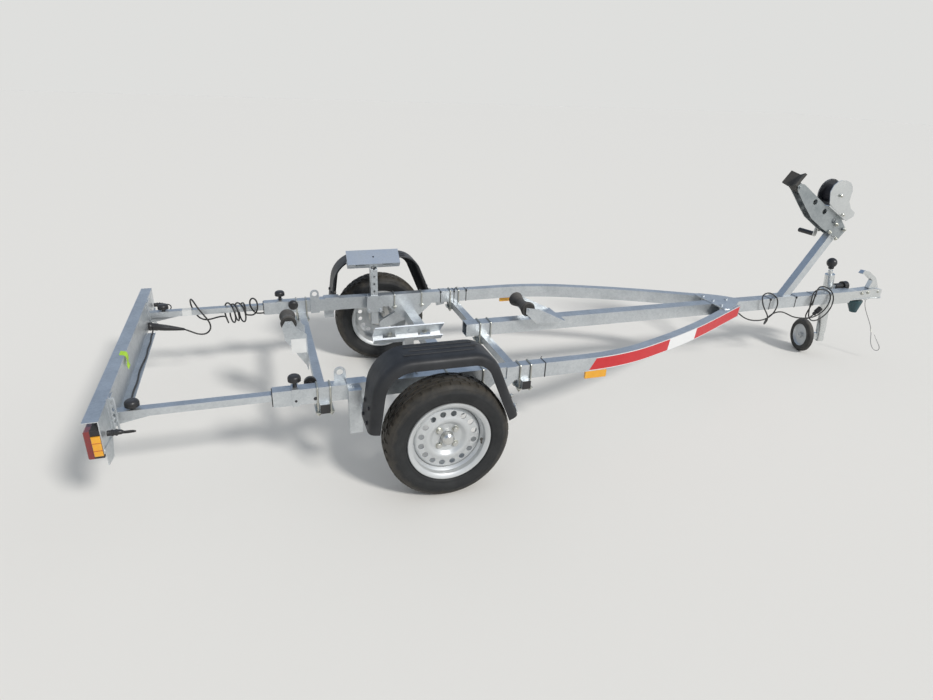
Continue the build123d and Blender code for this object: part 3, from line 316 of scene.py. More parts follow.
# %% Lip cable
lip_cable_d, lip_z = 0.007, 0.4068
lip_run = [(-1.249, 0.4), (-1.251, 0.336), (-1.244, 0.262), (-1.248, 0.18), (-1.242, 0.092),
           (-1.249, 0), (-1.252, -0.092), (-1.245, -0.184), (-1.25, -0.276), (-1.246, -0.356)]
lip_route = from_axle([(-1.254, 0.453, 0.4078)] + [(x, y, lip_z) for x, y in lip_run]
                      + [(-1.248, -0.424, 0.4108), (-1.243, -0.474, 0.4258)])
lip_cable = cord_curve("lip_cable_line", lip_route, lip_cable_d)
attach(lip_cable, "light_board_slide")
line_length(lip_cable)
print("lip cable", round(line_length(lip_cable), 3), "m")

# %% [markdown]
# The arm cable leaves the tapered sleeve, loops over the left arm, winds round it four times
# and loops once more into the rail. A loop in code works out the winding. Each turn is a
# little larger or smaller than the last and sways along the arm, because nothing ties it. The
# sway starts and ends at nothing, so that the winding meets the loops before and after it.

# %% The winding round the left arm
coil_from, coil_to = -0.8935, -0.7905
coil_y, coil_z = 0.5515, 0.428
coil_half_w, coil_half_h = 0.0445, 0.0545
coil_turns, points_a_turn = 4, 14
turn_size = (1.0, 1.10, 0.84, 1.08, 0.92)
turn_sway = (0.018, 0.024, 0.015, 0.026, 0.018)
settle_rate = 9

coil_points = []
steps = coil_turns * points_a_turn
for i in range(1, steps):
    share = i / steps
    angle = pi + 2 * pi * coil_turns * share
    turn_now = int(share * coil_turns)
    blend_on = share * coil_turns - turn_now
    grow = turn_size[turn_now] * (1 - blend_on) + turn_size[turn_now + 1] * blend_on
    sway = turn_sway[turn_now] * (1 - blend_on) + turn_sway[turn_now + 1] * blend_on
    settle = min(1, share * settle_rate, (1 - share) * settle_rate)
    coil_points.append((coil_from + (coil_to - coil_from) * share - sway * settle * cos(angle),
                        coil_y + coil_half_w * grow * cos(angle),
                        coil_z + coil_half_h * grow * sin(angle)))
print("winding of", coil_turns, "turns,", len(coil_points), "points")

# %% [markdown]
# The two loops are set after the photograph: a wide one from the sleeve over the arm,
# and a narrow one that stands up before the cable goes into the rail's mouth.

# %% Arm cable
arm_cable_d = 0.0085
tail_points = [
    (-1.112, 0.508, 0.368), (-1.08, 0.515, 0.348), (-1.044, 0.517, 0.328),
    (-1.004, 0.514, 0.328), (-0.977, 0.512, 0.358), (-0.981, 0.51, 0.4),
    (-1.005, 0.509, 0.44), (-1.03, 0.513, 0.48), (-1.048, 0.53, 0.512),
    (-1.062, 0.56, 0.521), (-1.072, 0.59, 0.503), (-1.072, 0.608, 0.464),
    (-1.056, 0.602, 0.424), (-1.034, 0.574, 0.402), (-1.002, 0.542, 0.4),
    (-0.966, 0.52, 0.412), (-0.93, 0.508, 0.426), (-0.8935, 0.506, 0.428),
]
loop_points = [
    (-0.7905, 0.506, 0.428), (-0.770, 0.504, 0.424), (-0.750, 0.502, 0.424),
    (-0.731, 0.503, 0.440), (-0.722, 0.507, 0.472), (-0.727, 0.511, 0.505),
    (-0.745, 0.512, 0.521), (-0.761, 0.512, 0.509), (-0.764, 0.513, 0.478),
    (-0.752, 0.517, 0.446), (-0.736, 0.525, 0.426), (-0.716, 0.534, 0.419),
    (-0.6956, 0.538, 0.419),
]
arm_route = from_axle(tail_points + coil_points + loop_points)
arm_cable = cord_curve("arm_cable_line", arm_route, arm_cable_d)
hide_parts("arm_cable", "arm_cable_coil")
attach(arm_cable, "light_board_slide")
line_length(arm_cable)
print("arm cable", round(line_length(arm_cable), 3), "m")

# %% [markdown]
# Every finish below is built from four small shared patterns, so that the same steel, dust or
# wear looks alike wherever it turns up. A pattern is a node group that gives only masks and
# normals. Each material keeps its own shader and sets metal, coat and gloss there.

# %% Pattern tools
def start_pattern(name, inputs, outputs):
    """A new node group, what goes into it and what comes out of it."""
    group = bpy.data.node_groups.new(name, "ShaderNodeTree")
    for way, sockets in (("INPUT", inputs), ("OUTPUT", outputs)):
        for label, kind in sockets:
            group.interface.new_socket(label, in_out=way, socket_type="NodeSocket" + kind)
    given = group.nodes.new("NodeGroupInput").outputs
    return group, given, group.nodes.new("NodeGroupOutput").inputs


def maths(tree, operation, first, second=0.0):
    return add_node(tree, "Math", {0: first, 1: second}, operation=operation).outputs[0]


def noise(tree, place, scale, detail=3.0, rough=0.55):
    """Noise at a scale per metre."""
    return add_node(tree, "TexNoise", {"Vector": place, "Scale": scale, "Detail": detail,
                                       "Roughness": rough}).outputs["Fac"]


def bump(tree, height, strength, distance):
    return add_node(tree, "Bump", {"Height": height, "Strength": strength,
                                   "Distance": distance}).outputs["Normal"]


def weighted_sum(tree, *parts):
    """Sum of pairs of an output and its weight."""
    total = None
    for value, weight in parts:
        part = maths(tree, "MULTIPLY", value, weight)
        total = part if total is None else maths(tree, "ADD", total, part)
    return total


print("pattern tools ready")

# %% [markdown]
# The first pattern is the flaky crystal bloom of hot-dip zinc. Voronoi cells give the flakes,
# and two sizes of noise give the clouds and streaks that lie over them. The second is a fine
# moulded or cast grain, of fine noise on broad noise.

# %% Zinc bloom and fine grain
surface_in = [("Place", "Vector"), ("Scale", "Float"), ("Bump", "Float")]
surface_out = [("Mask", "Float"), ("Normal", "Vector")]

zinc_bloom, given, result = start_pattern("zinc_bloom", surface_in, surface_out)
flakes = add_node(zinc_bloom, "TexVoronoi", {"Vector": given["Place"], "Scale": given["Scale"],
                                             "Randomness": 1.0})
flake_tone = add_node(zinc_bloom, "SeparateXYZ", {0: flakes.outputs["Color"]}).outputs["X"]
clouds = noise(zinc_bloom, given["Place"], 9, 4)
streaks = noise(zinc_bloom, given["Place"], 38, 3, 0.65)
bloom = weighted_sum(zinc_bloom, (flake_tone, 0.16), (clouds, 0.70), (streaks, 0.28))
feed(zinc_bloom, result["Mask"], bloom)
feed(zinc_bloom, result["Normal"], bump(zinc_bloom, bloom, given["Bump"], 0.002))

fine_grain, given, result = start_pattern("fine_grain", surface_in, surface_out)
fine = noise(fine_grain, given["Place"], given["Scale"], 2, 0.6)
broad = noise(fine_grain, given["Place"], 14, 4)
feed(fine_grain, result["Mask"], weighted_sum(fine_grain, (fine, 0.35), (broad, 0.65)))
feed(fine_grain, result["Normal"], bump(fine_grain, fine, given["Bump"], 0.0006))
print("patterns", zinc_bloom.name, fine_grain.name)

# %% [markdown]
# The third pattern finds edges. It compares the true normal with one rounded over a small
# radius, and where they differ the surface turns a corner. Paint rubs thin there and plastic
# goes pale. The fourth gathers dust: more on faces that look up, and patchy everywhere.

# %% Edge wear and dust
corner_gain, least_dust = 5.0, 0.15

edge_wear, given, result = start_pattern("edge_wear", [("Place", "Vector"), ("Width", "Float")],
                                         [("Mask", "Float")])
rounded = add_node(edge_wear, "Bevel", {"Radius": given["Width"]}, samples=4)
true_way = add_node(edge_wear, "NewGeometry")
alike = add_node(edge_wear, "VectorMath", {0: rounded.outputs["Normal"], 1: true_way.outputs["Normal"]},
                 operation="DOT_PRODUCT").outputs["Value"]
corner = maths(edge_wear, "MULTIPLY", maths(edge_wear, "SUBTRACT", 1.0, alike), corner_gain)
worn_patches = maths(edge_wear, "MULTIPLY", corner, noise(edge_wear, given["Place"], 70, 3))
feed(edge_wear, result["Mask"], maths(edge_wear, "MINIMUM", worn_patches, 1.0))

dust, given, result = start_pattern("dust", [("Place", "Vector"), ("Amount", "Float")],
                                    [("Mask", "Float")])
facing = add_node(dust, "TexCoord").outputs["Normal"]
facing_up = add_node(dust, "SeparateXYZ", {0: facing}).outputs["Z"]
upward = maths(dust, "MAXIMUM", facing_up, least_dust)
dust_patches = maths(dust, "MULTIPLY", upward, noise(dust, given["Place"], 23, 5, 0.7))
settled = maths(dust, "MULTIPLY", dust_patches, given["Amount"])
feed(dust, result["Mask"], maths(dust, "MINIMUM", settled, 1.0))
print("patterns", edge_wear.name, dust.name)

# %% [markdown]
# One helper lays a finish out: a pattern picks between a dark and a light tone and between two
# degrees of roughness, then worn edges and dust come over it. Later cells add to what it
# gives, such as coloured tape on the rails or a ring of dirt on the tyres.

# %% The finish helper
dust_tone = (0.36, 0.33, 0.29, 1)
mask_low, mask_high = 0.3, 0.75


def mix_colour(tree, mask, below, above):
    """Colour above laid over colour below: each is a colour or another node's output."""
    node = add_node(tree, "Mix", {"Factor": mask, 6: below, 7: above}, data_type="RGBA")
    return node.outputs[2]


def finish(name, dark, light, rough, pattern, scale, strength, metallic=0.0, coat=0.0,
           dusty=0.0, worn=None, worn_width=0.002):
    """A material of two tones and two degrees of roughness, with edges and dust over them."""
    material = bpy.data.materials.new(name)
    material.use_nodes = True
    tree = material.node_tree
    place = add_node(tree, "TexCoord").outputs["Object"]
    base = add_node(tree, "Group", {"Place": place, "Scale": scale, "Bump": strength}, node_tree=pattern)
    mask = base.outputs["Mask"]
    tones = add_node(tree, "ValToRGB", {"Fac": mask})
    fill_ramp(tones, (mask_low, (*dark, 1)), (mask_high, (*light, 1)))
    colour = tones.outputs["Color"]
    if worn:
        edges = add_node(tree, "Group", {"Place": place, "Width": worn_width}, node_tree=edge_wear)
        colour = mix_colour(tree, edges.outputs["Mask"], colour, (*worn, 1))
    if dusty:
        film = add_node(tree, "Group", {"Place": place, "Amount": dusty}, node_tree=dust)
        colour = mix_colour(tree, film.outputs["Mask"], colour, dust_tone)
    gloss = add_node(tree, "MapRange", {"Value": mask, "From Min": mask_low, "From Max": mask_high,
                                        "To Min": rough[1], "To Max": rough[0]})
    surface = {"Base Color": colour, "Roughness": gloss.outputs["Result"],
               "Normal": base.outputs["Normal"], "Metallic": metallic, "Coat Weight": coat}
    for socket, value in surface.items():
        feed(tree, shader_of(material).inputs[socket], value)
    return material


print("finish helper ready")

# %% [markdown]
# Metals first. Hot-dip zinc is a cool mid grey with soft crystal flakes and cloudy gloss. The
# coupling, the jockey's tubes and the winch frame are a brighter, smoother zinc. The bow stop
# is duller and darker than the rest. The winch drum is painted nearly black as shade on its
# face, and its bright worn edges are a painted highlight round the rim. Hubs and bolts are
# plated thinly, so they look a little yellow, and the wheels are silver paint over steel.

# %% Metals
zinc_look = dict(dark=(0.49, 0.52, 0.54), light=(0.66, 0.69, 0.71), rough=(0.36, 0.50),
                 pattern=zinc_bloom, scale=120, strength=0.05, metallic=0.85, dusty=0.12,
                 worn=(0.78, 0.80, 0.82))
zinc = finish("galvanised_steel", **zinc_look)
smooth_zinc = finish("bright_zinc", (0.60, 0.62, 0.62), (0.72, 0.74, 0.74), (0.26, 0.36),
                     zinc_bloom, 210, 0.03, metallic=0.9, dusty=0.08, worn=(0.84, 0.85, 0.85))
dull_zinc = finish("dull_zinc", (0.27, 0.30, 0.31), (0.42, 0.45, 0.46), (0.34, 0.50),
                   zinc_bloom, 120, 0.05, metallic=0.85, dusty=0.10, worn=(0.70, 0.72, 0.74))
plate = finish("thin_plating", (0.50, 0.50, 0.48), (0.72, 0.72, 0.70), (0.26, 0.40),
               fine_grain, 260, 0.06, metallic=0.9, dusty=0.15, worn=(0.80, 0.80, 0.78))
silver = finish("silver_wheel_paint", (0.52, 0.54, 0.55), (0.64, 0.66, 0.67), (0.38, 0.50),
                fine_grain, 900, 0.04, metallic=0.50, coat=0.10, dusty=0.35, worn=(0.70, 0.72, 0.73))
bolt_steel = finish("bolt_steel", (0.42, 0.42, 0.38), (0.66, 0.66, 0.60), (0.26, 0.42),
                    fine_grain, 500, 0.08, metallic=0.9, worn=(0.78, 0.78, 0.74), worn_width=0.001)
dark_bolt = finish("dark_bolt", (0.035, 0.035, 0.04), (0.08, 0.08, 0.085), (0.35, 0.5),
                   fine_grain, 500, 0.08, metallic=0.6, worn=(0.25, 0.25, 0.25), worn_width=0.001)
# Painted shade and highlight: the drum's near-black tones stand in for shade on its face, and its bright
# worn edges are a painted highlight round the rim.
drum_painted_shade_and_glint = finish("drum_painted_shade_and_glint", (0.030, 0.034, 0.042), (0.075, 0.08, 0.09), (0.28, 0.42),
                   fine_grain, 400, 0.06, metallic=0.5, dusty=0.10, worn=(0.70, 0.71, 0.72),
                   worn_width=0.0025)
print("metals", zinc.name, "to", drum_painted_shade_and_glint.name)

# %% [markdown]
# A CAD node that has the right shape stays. It only needs its finish, so the material that it
# came with is cleared and the new one put in its place.

# %% Metals on the CAD nodes
def wear(material, *names):
    for name in names:
        mesh = nodes[name].data
        mesh.materials.clear()
        mesh.materials.append(material)
    print(material.name, "on", len(names))


wear(zinc, "axle_hangers", "axle_tube", "board_arms", "board_brackets", "cross_beam_front",
     "cross_beam_rear", "drawbar", "fender_brackets", "jockey_clamp", "keel_brackets", "light_board",
     "support_plates", "support_posts", "suspension_arms", "tie_down_eyes", "v_joint_plates",
     "winch_post", "arm_clamps")
wear(dull_zinc, "bow_stop_frame")
wear(smooth_zinc, "coupling_handle", "coupling_head", "jockey_leg", "jockey_tube", "jockey_crank",
     "winch_frame")
wear(plate, "hub_left", "hub_right", "winch_crank", "jockey_spindle_nut")
wear(drum_painted_shade_and_glint, "winch_drum")
wear(silver, "rim_left", "rim_right", "jockey_rim")

# %% [markdown]
# Plastics and rubber. The fenders are moulded with a fine leather-like grain and have gone a
# touch grey on their edges. Caps, knobs and grips are smoother, and the plug's holder is a dark
# teal. Rubber is duller still, and the safety cable's strands are plain steel.

# %% Plastics, rubber and cable skins
fender_plastic = finish("moulded_fender_plastic", (0.012, 0.013, 0.015), (0.030, 0.032, 0.036),
                        (0.40, 0.56), fine_grain, 620, 0.22, dusty=0.05, worn=(0.08, 0.085, 0.09),
                        worn_width=0.004)
shader_of(fender_plastic).inputs["Specular IOR Level"].default_value = 0.35
plastic = finish("black_plastic", (0.010, 0.010, 0.011), (0.026, 0.026, 0.028), (0.30, 0.46),
                 fine_grain, 800, 0.12, dusty=0.10, worn=(0.08, 0.08, 0.085))
rubber = finish("black_rubber", (0.010, 0.010, 0.010), (0.028, 0.027, 0.026), (0.55, 0.75),
                fine_grain, 420, 0.25, dusty=0.45, worn=(0.07, 0.068, 0.065), worn_width=0.003)
cable_skin = finish("cable_skin", (0.008, 0.008, 0.008), (0.022, 0.022, 0.022), (0.38, 0.55),
                    fine_grain, 700, 0.10, dusty=0.10)
teal = finish("teal_plastic", (0.010, 0.040, 0.050), (0.020, 0.075, 0.090), (0.34, 0.5),
              fine_grain, 600, 0.10, dusty=0.10, worn=(0.08, 0.14, 0.15))
wire_rope = finish("wire_rope", (0.16, 0.16, 0.16), (0.42, 0.42, 0.41), (0.3, 0.45),
                   fine_grain, 900, 0.3, metallic=0.8)
wear(fender_plastic, "fender_left", "fender_right")
wear(plastic, "arm_clamp_knobs", "arm_guides", "beam_end_caps", "board_knobs", "cable_plug",
     "jockey_clamp_grip", "jockey_knob", "rear_lamps", "winch_grip")
wear(rubber, "bow_block", "keel_roller_front", "keel_roller_rear", "jockey_tyre", "tyre_left",
     "tyre_right")
wear(teal, "plug_holder")
for cord in (drawbar_cable, lip_cable, arm_cable):
    cord.data.materials.append(cable_skin)
safety_cable.data.materials.append(wire_rope)

# %% [markdown]
# The winch strap is woven, so its bump follows two crossed waves at thread scale, the way the
# warp passes over and under the weft. The same helper serves the lamps' ribbed lenses below.

# %% Strap webbing
def crossed_waves(material, waves, distortion, strength, distance):
    """A bump of two sets of bands, each a direction and a scale, that cross."""
    tree = material.node_tree
    place = tree.nodes["Texture Coordinate"].outputs["Object"]
    bands = [add_node(tree, "TexWave", {"Vector": place, "Scale": scale, "Distortion": distortion},
                      bands_direction=way).outputs["Fac"] for way, scale in waves]
    height = maths(tree, "MULTIPLY", *bands)
    feed(tree, shader_of(material).inputs["Normal"], bump(tree, height, strength, distance))


webbing = finish("strap_webbing", (0.012, 0.012, 0.016), (0.045, 0.045, 0.055), (0.6, 0.8),
                 fine_grain, 500, 0.1)
crossed_waves(webbing, (("X", 300), ("Y", 420)), 0.6, 0.6, 0.0008)
wear(webbing, "winch_strap")

# %% [markdown]
# Lenses are clear plastic over a moulded grid, so their colour is deep, their skin is glossy,
# and fine ribs catch the light from below the skin. The red is its own deep red, darkened
# further as painted shade. Red, amber and the dark amber of the bars across the lamps'
# windows share one recipe.

# %% Lenses and reflectors
def lens_plastic(name, dark, light):
    material = finish(name, dark, light, (0.10, 0.18), fine_grain, 300, 0.05, coat=1.0, dusty=0.10)
    shader_of(material).inputs["Coat Roughness"].default_value = 0.06
    crossed_waves(material, (("DIAGONAL", 62), ("Z", 90)), 0.0, 0.35, 0.001)
    return material


# The red lens's tones are its own deep red, darkened further as painted shade.
red_lens_painted_shade = lens_plastic("red_lens_painted_shade", (0.13, 0.003, 0.004), (0.24, 0.007, 0.008))
amber_lens = lens_plastic("amber_lens", (0.70, 0.29, 0.002), (0.86, 0.43, 0.003))
dark_amber = lens_plastic("dark_amber_lens", (0.40, 0.07, 0.002), (0.55, 0.13, 0.004))
wear(red_lens_painted_shade, "lamp_lenses")
wear(amber_lens, "side_reflectors")

# %% [markdown]
# The rails carry coloured tape on their outer faces. It starts on a slant, runs red, then
# white, then red to the tip, with a thin white line above and below. The tape is found by
# place: the outer face is where the normal points away from the middle of the trailer, and a
# slant comes from taking a part of the height off the distance ahead.

# %% Where the tape lies
tape_from, tape_to = 0.762, 2.036
white_from, white_to = 1.290, 1.533
tape_low, tape_high, tape_line = 0.4125, 0.4775, 0.0030
start_slant, joint_slant = 0.6, 0.2
half_tape = (tape_high - tape_low) / 2

rail_zinc = finish("rail_zinc_with_tape", **zinc_look)
tree = rail_zinc.node_tree
place = tree.nodes["Texture Coordinate"].outputs
at = add_node(tree, "SeparateXYZ", {0: place["Object"]}).outputs
way = add_node(tree, "SeparateXYZ", {0: place["Normal"]}).outputs
outward = maths(tree, "GREATER_THAN", maths(tree, "MULTIPLY", at["Y"], way["Y"]), 0.02)
above_low = maths(tree, "SUBTRACT", at["Z"], tape_low)
ahead = maths(tree, "SUBTRACT", at["X"], axle_x)
along = maths(tree, "SUBTRACT", ahead, maths(tree, "MULTIPLY", above_low, joint_slant))
from_start = maths(tree, "SUBTRACT", ahead, maths(tree, "MULTIPLY", above_low, start_slant))
in_length = maths(tree, "MULTIPLY", maths(tree, "GREATER_THAN", from_start, tape_from),
                  maths(tree, "LESS_THAN", along, tape_to))
off_middle = maths(tree, "ABSOLUTE", maths(tree, "SUBTRACT", at["Z"], (tape_low + tape_high) / 2))
in_height = maths(tree, "LESS_THAN", off_middle, half_tape)
on_tape = maths(tree, "MULTIPLY", maths(tree, "MULTIPLY", outward, in_length), in_height)
on_line = maths(tree, "GREATER_THAN", off_middle, half_tape - tape_line)
on_white = maths(tree, "MULTIPLY", maths(tree, "GREATER_THAN", along, white_from),
                 maths(tree, "LESS_THAN", along, white_to))
white_part = maths(tree, "MAXIMUM", on_line, on_white)
print("tape from", tape_from, "to", tape_to, "ahead of the axle")

# %% [markdown]
# The masks then lay the tape over the zinc. Its red fades in soft patches. Tape is no metal, so
# the metallic value goes to nothing under it, and the roughness to the tape's own.

# %% Coloured tape over the zinc
tape_red, faded_red = (0.50, 0.016, 0.022, 1), (0.56, 0.034, 0.040, 1)
tape_white = (0.74, 0.75, 0.76, 1)
tape_rough = 0.42

skin = shader_of(rail_zinc).inputs
fade = noise(tree, place["Object"], 30, 4)
red = mix_colour(tree, fade, tape_red, faded_red)
tape_colour = mix_colour(tree, white_part, red, tape_white)
steel_colour = skin["Base Color"].links[0].from_socket
feed(tree, skin["Base Color"], mix_colour(tree, on_tape, steel_colour, tape_colour))
bare = maths(tree, "SUBTRACT", 1.0, on_tape)
feed(tree, skin["Metallic"], maths(tree, "MULTIPLY", bare, zinc_look["metallic"]))
steel_rough = skin["Roughness"].links[0].from_socket
rough_step = maths(tree, "MULTIPLY", on_tape, maths(tree, "SUBTRACT", tape_rough, steel_rough))
feed(tree, skin["Roughness"], maths(tree, "ADD", steel_rough, rough_step))
wear(rail_zinc, "side_rail_left", "side_rail_right")

# %% [markdown]
# Now the new pieces. Operators act on all that is selected, so a small tool first picks one
# piece alone. Others smooth a piece, put its place into its mesh, apply what its modifiers
# made, and join several pieces to one.

# %% Picking and finishing tools
def clear_choice():
    bpy.ops.object.select_all(action="DESELECT")


def pick(piece):
    clear_choice()
    piece.select_set(True)
    bpy.context.view_layer.objects.active = piece


def smooth(piece, degrees=32):
    pick(piece)
    bpy.ops.object.shade_smooth_by_angle(angle=radians(degrees))


def freeze(piece):
    """Put the object's place, turn and size into its mesh."""
    pick(piece)
    bpy.ops.object.transform_apply(location=True, rotation=True, scale=True)


def apply_all(piece):
    pick(piece)
    for modifier in list(piece.modifiers):
        bpy.ops.object.modifier_apply(modifier=modifier.name)


def join(pieces):
    pick(pieces[0])
    for piece in pieces:
        piece.select_set(True)
    bpy.ops.object.join()
    return pieces[0]


print("picking and finishing tools ready")

# %% [markdown]
# In edit mode one would click faces with the mouse. In code they are chosen by a test on their
# place or normal. When a piece is done, one call gives it its material and names the body that
# it rides on.

# %% Choosing faces and dressing a piece
def choose_faces(piece, wanted):
    """Select the faces that pass a test, and enter edit mode."""
    pick(piece)
    for part in (*piece.data.vertices, *piece.data.edges):
        part.select = False
    for face in piece.data.polygons:
        face.select = bool(wanted(face))
    bpy.ops.object.mode_set(mode="EDIT")
    bpy.ops.mesh.select_mode(type="FACE")


def dress(piece, material, body):
    piece.data.materials.clear()
    piece.data.materials.append(material)
    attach(piece, body)
    return piece


print("choosing and dressing tools ready")

# %% [markdown]
# Many pieces are drawn the way they are drawn on paper. A section is pulled out point by point
# from one corner, and then spun about a centre or pulled along a line. Afterwards the points
# that lie together are merged and the faces turned outwards.

# %% Drawing and turning tools
def drawn_line(name, points):
    """An edge line pulled out of one point, left in edit mode with all of it selected."""
    clear_choice()
    bpy.ops.mesh.primitive_plane_add(size=0.01, location=(0, 0, 0))
    piece = bpy.context.object
    piece.name = name
    piece.data.name = name
    bpy.ops.object.mode_set(mode="EDIT")
    bpy.ops.mesh.select_mode(type="VERT")
    bpy.ops.mesh.select_all(action="SELECT")
    bpy.ops.mesh.merge(type="CENTER")
    bpy.ops.transform.translate(value=tuple(points[0]))
    for before, after in zip(points, points[1:]):
        step = Vector(after) - Vector(before)
        bpy.ops.mesh.extrude_vertices_move(TRANSFORM_OT_translate={"value": tuple(step)})
    bpy.ops.mesh.select_all(action="SELECT")
    return piece


def pull(step, parts=1):
    """Extrude what is selected along a step, in a few equal parts."""
    part_step = tuple(Vector(step) / parts)
    for part in range(parts):
        bpy.ops.mesh.extrude_region_move(TRANSFORM_OT_translate={"value": part_step})


def tidy_mesh(gap=0.00002):
    """In edit mode: merge what lies together, turn faces outwards, leave edit mode."""
    bpy.ops.mesh.select_all(action="SELECT")
    bpy.ops.mesh.remove_doubles(threshold=gap)
    bpy.ops.mesh.normals_make_consistent(inside=False)
    bpy.ops.object.mode_set(mode="OBJECT")


def turned(name, section, centre, side, steps):
    """A section of (radius, outward offset) points turned about a wheel's axle."""
    line = [(centre.x + r * MM, centre.y + side * y * MM, centre.z) for r, y in section]
    piece = drawn_line(name, line + line[:1])
    bpy.ops.mesh.spin(steps=steps, angle=2 * pi, center=tuple(centre), axis=(0, 1, 0))
    tidy_mesh()
    return piece


print("drawing tools ready")

# %% [markdown]
# Three modifiers turn up again and again: a bevel that softens edges, a wall that gives a sheet
# its thickness, and a boolean that cuts holes with pegs. Each is applied at once.

# %% Bevel, wall and holes
def soften(piece, width, segments=2, angle=30):
    soft = piece.modifiers.new("soft", "BEVEL")
    soft.width = width
    soft.segments = segments
    soft.limit_method = "ANGLE"
    soft.angle_limit = radians(angle)
    apply_all(piece)


def add_wall(piece, thickness, offset, even=False):
    wall = piece.modifiers.new("wall", "SOLIDIFY")
    wall.thickness = thickness
    wall.offset = offset
    wall.use_even_offset = even
    apply_all(piece)


def peg(at, radius, depth, vertices, stretch=1):
    """A round peg that lies across the trailer."""
    bpy.ops.mesh.primitive_cylinder_add(vertices=vertices, radius=radius, depth=depth, location=at,
                                        rotation=(pi / 2, 0, 0), scale=(1, stretch, 1))
    return bpy.context.object


def cut_holes(piece, pegs):
    cutter = join(pegs)
    freeze(cutter)
    cut = piece.modifiers.new("holes", "BOOLEAN")
    cut.operation = "DIFFERENCE"
    cut.solver = "EXACT"
    cut.object = cutter
    apply_all(piece)
    bpy.data.objects.remove(cutter, do_unlink=True)


print("modifier tools ready")

# %% [markdown]
# Dirt on a tyre follows the wheel round, so the tyre's finish reads how far a point lies from
# the axle. The tread and shoulder are brown with dry mud, the sidewall is a dull black, and
# the patches break up through noise, so the band never ends in a clean ring.

# %% Tyre rubber
mud_tone = (0.115, 0.098, 0.074, 1)
mud_from, mud_full, mud_share = 0.236, 0.272, 0.52
mud_sway, mud_least = 0.045, 0.35


def tyre_finish(name, centre):
    material = finish(name, (0.012, 0.013, 0.014), (0.028, 0.029, 0.030), (0.52, 0.70),
                      fine_grain, 380, 0.20)
    tree = material.node_tree
    skin = shader_of(material).inputs
    skin["Specular IOR Level"].default_value = 0.35
    place = tree.nodes["Texture Coordinate"].outputs["Object"]
    shift = add_node(tree, "VectorMath", {0: place, 1: tuple(centre)}, operation="SUBTRACT").outputs[0]
    flat = add_node(tree, "VectorMath", {0: shift, 1: (1, 0, 1)}, operation="MULTIPLY").outputs[0]
    reach = add_node(tree, "VectorMath", {0: flat}, operation="LENGTH").outputs["Value"]
    patches = noise(tree, place, 26, 5, 0.7)
    ragged = maths(tree, "MULTIPLY", maths(tree, "SUBTRACT", patches, 0.5), mud_sway)
    far_out = maths(tree, "ADD", reach, ragged)
    band = add_node(tree, "MapRange", {"Value": far_out, "From Min": mud_from, "From Max": mud_full,
                                       "To Max": mud_share}).outputs["Result"]
    mud = maths(tree, "MULTIPLY", band, maths(tree, "ADD", patches, mud_least))
    black = skin["Base Color"].links[0].from_socket
    feed(tree, skin["Base Color"], mix_colour(tree, mud, black, mud_tone))
    return material


print("mud from", mud_from, "m out")

# %% [markdown]
# Each tyre is a full section, from bead to bead: a rim guard, a sidewall with two fine raised
# rings, a rounded shoulder and a tread with four grooves. After it is turned, every third
# block of the shoulder and every fourth of the ribs is pushed in, which cuts the tread.

# %% Tyres
tyre_half = [
    (165.4, 56.2), (178, 58.5), (185.5, 61.5), (188.5, 66.5), (191.5, 69.6), (194.5, 70.6), (197, 70.4),
    (204, 74), (213, 77), (222, 78.3), (231, 78.0), (233, 78.3), (235, 77.6), (243, 75.4), (250, 71.8),
    (252, 71.9), (255, 69.4), (261, 64.4), (266, 58.8), (269.8, 52.6), (271.4, 46.5), (271.9, 40.5),
    (265.5, 39.7), (265.5, 35.0), (272.5, 34.2), (273.0, 18.2), (266.2, 17.4), (266.2, 12.2), (273.2, 11.4)]
tyre_section = tyre_half + [(273.5, 0)] + [(r, -y) for r, y in reversed(tyre_half)]
tread_steps, tread_from_r, tread_depth = 120, 258, 0.003
tread_cuts = ((41, 60, 3, 0), (18.5, 34, 4, 1), (-1, 11, 4, 3))


def tread_block(face, centre, low, high, every, rest):
    """True for faces of the tread band low to high from the middle plane, at every so-many."""
    off = face.center - centre
    turn_at = atan2(off.z, off.x) % (2 * pi)
    step_no = int(turn_at / (2 * pi) * tread_steps)
    in_band = low < abs(off.y) / MM < high and hypot(off.x, off.z) / MM > tread_from_r
    return in_band and step_no % every == rest


for name, side in SIDES:
    centre = middle("tyre_" + name)
    tyre = turned("road_tyre_" + name, tyre_section, centre, side, tread_steps)
    for cut in tread_cuts:
        choose_faces(tyre, lambda f: tread_block(f, centre, *cut))
        bpy.ops.mesh.extrude_region_shrink_fatten(TRANSFORM_OT_shrink_fatten={"value": -tread_depth})
        bpy.ops.object.mode_set(mode="OBJECT")
    smooth(tyre, 38)
    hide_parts("tyre_" + name)
    dress(tyre, tyre_finish("tyre_rubber_" + name, centre), "wheel_" + name)
    print(tyre.name, len(tyre.data.polygons), "faces")

# %% [markdown]
# The wheels are pressed steel: a rolled barrel with a deep well, and a disc with a raised ring
# and sixteen round vents. Both are one plate thick, so each section goes out along one side of
# the plate and back along the other.

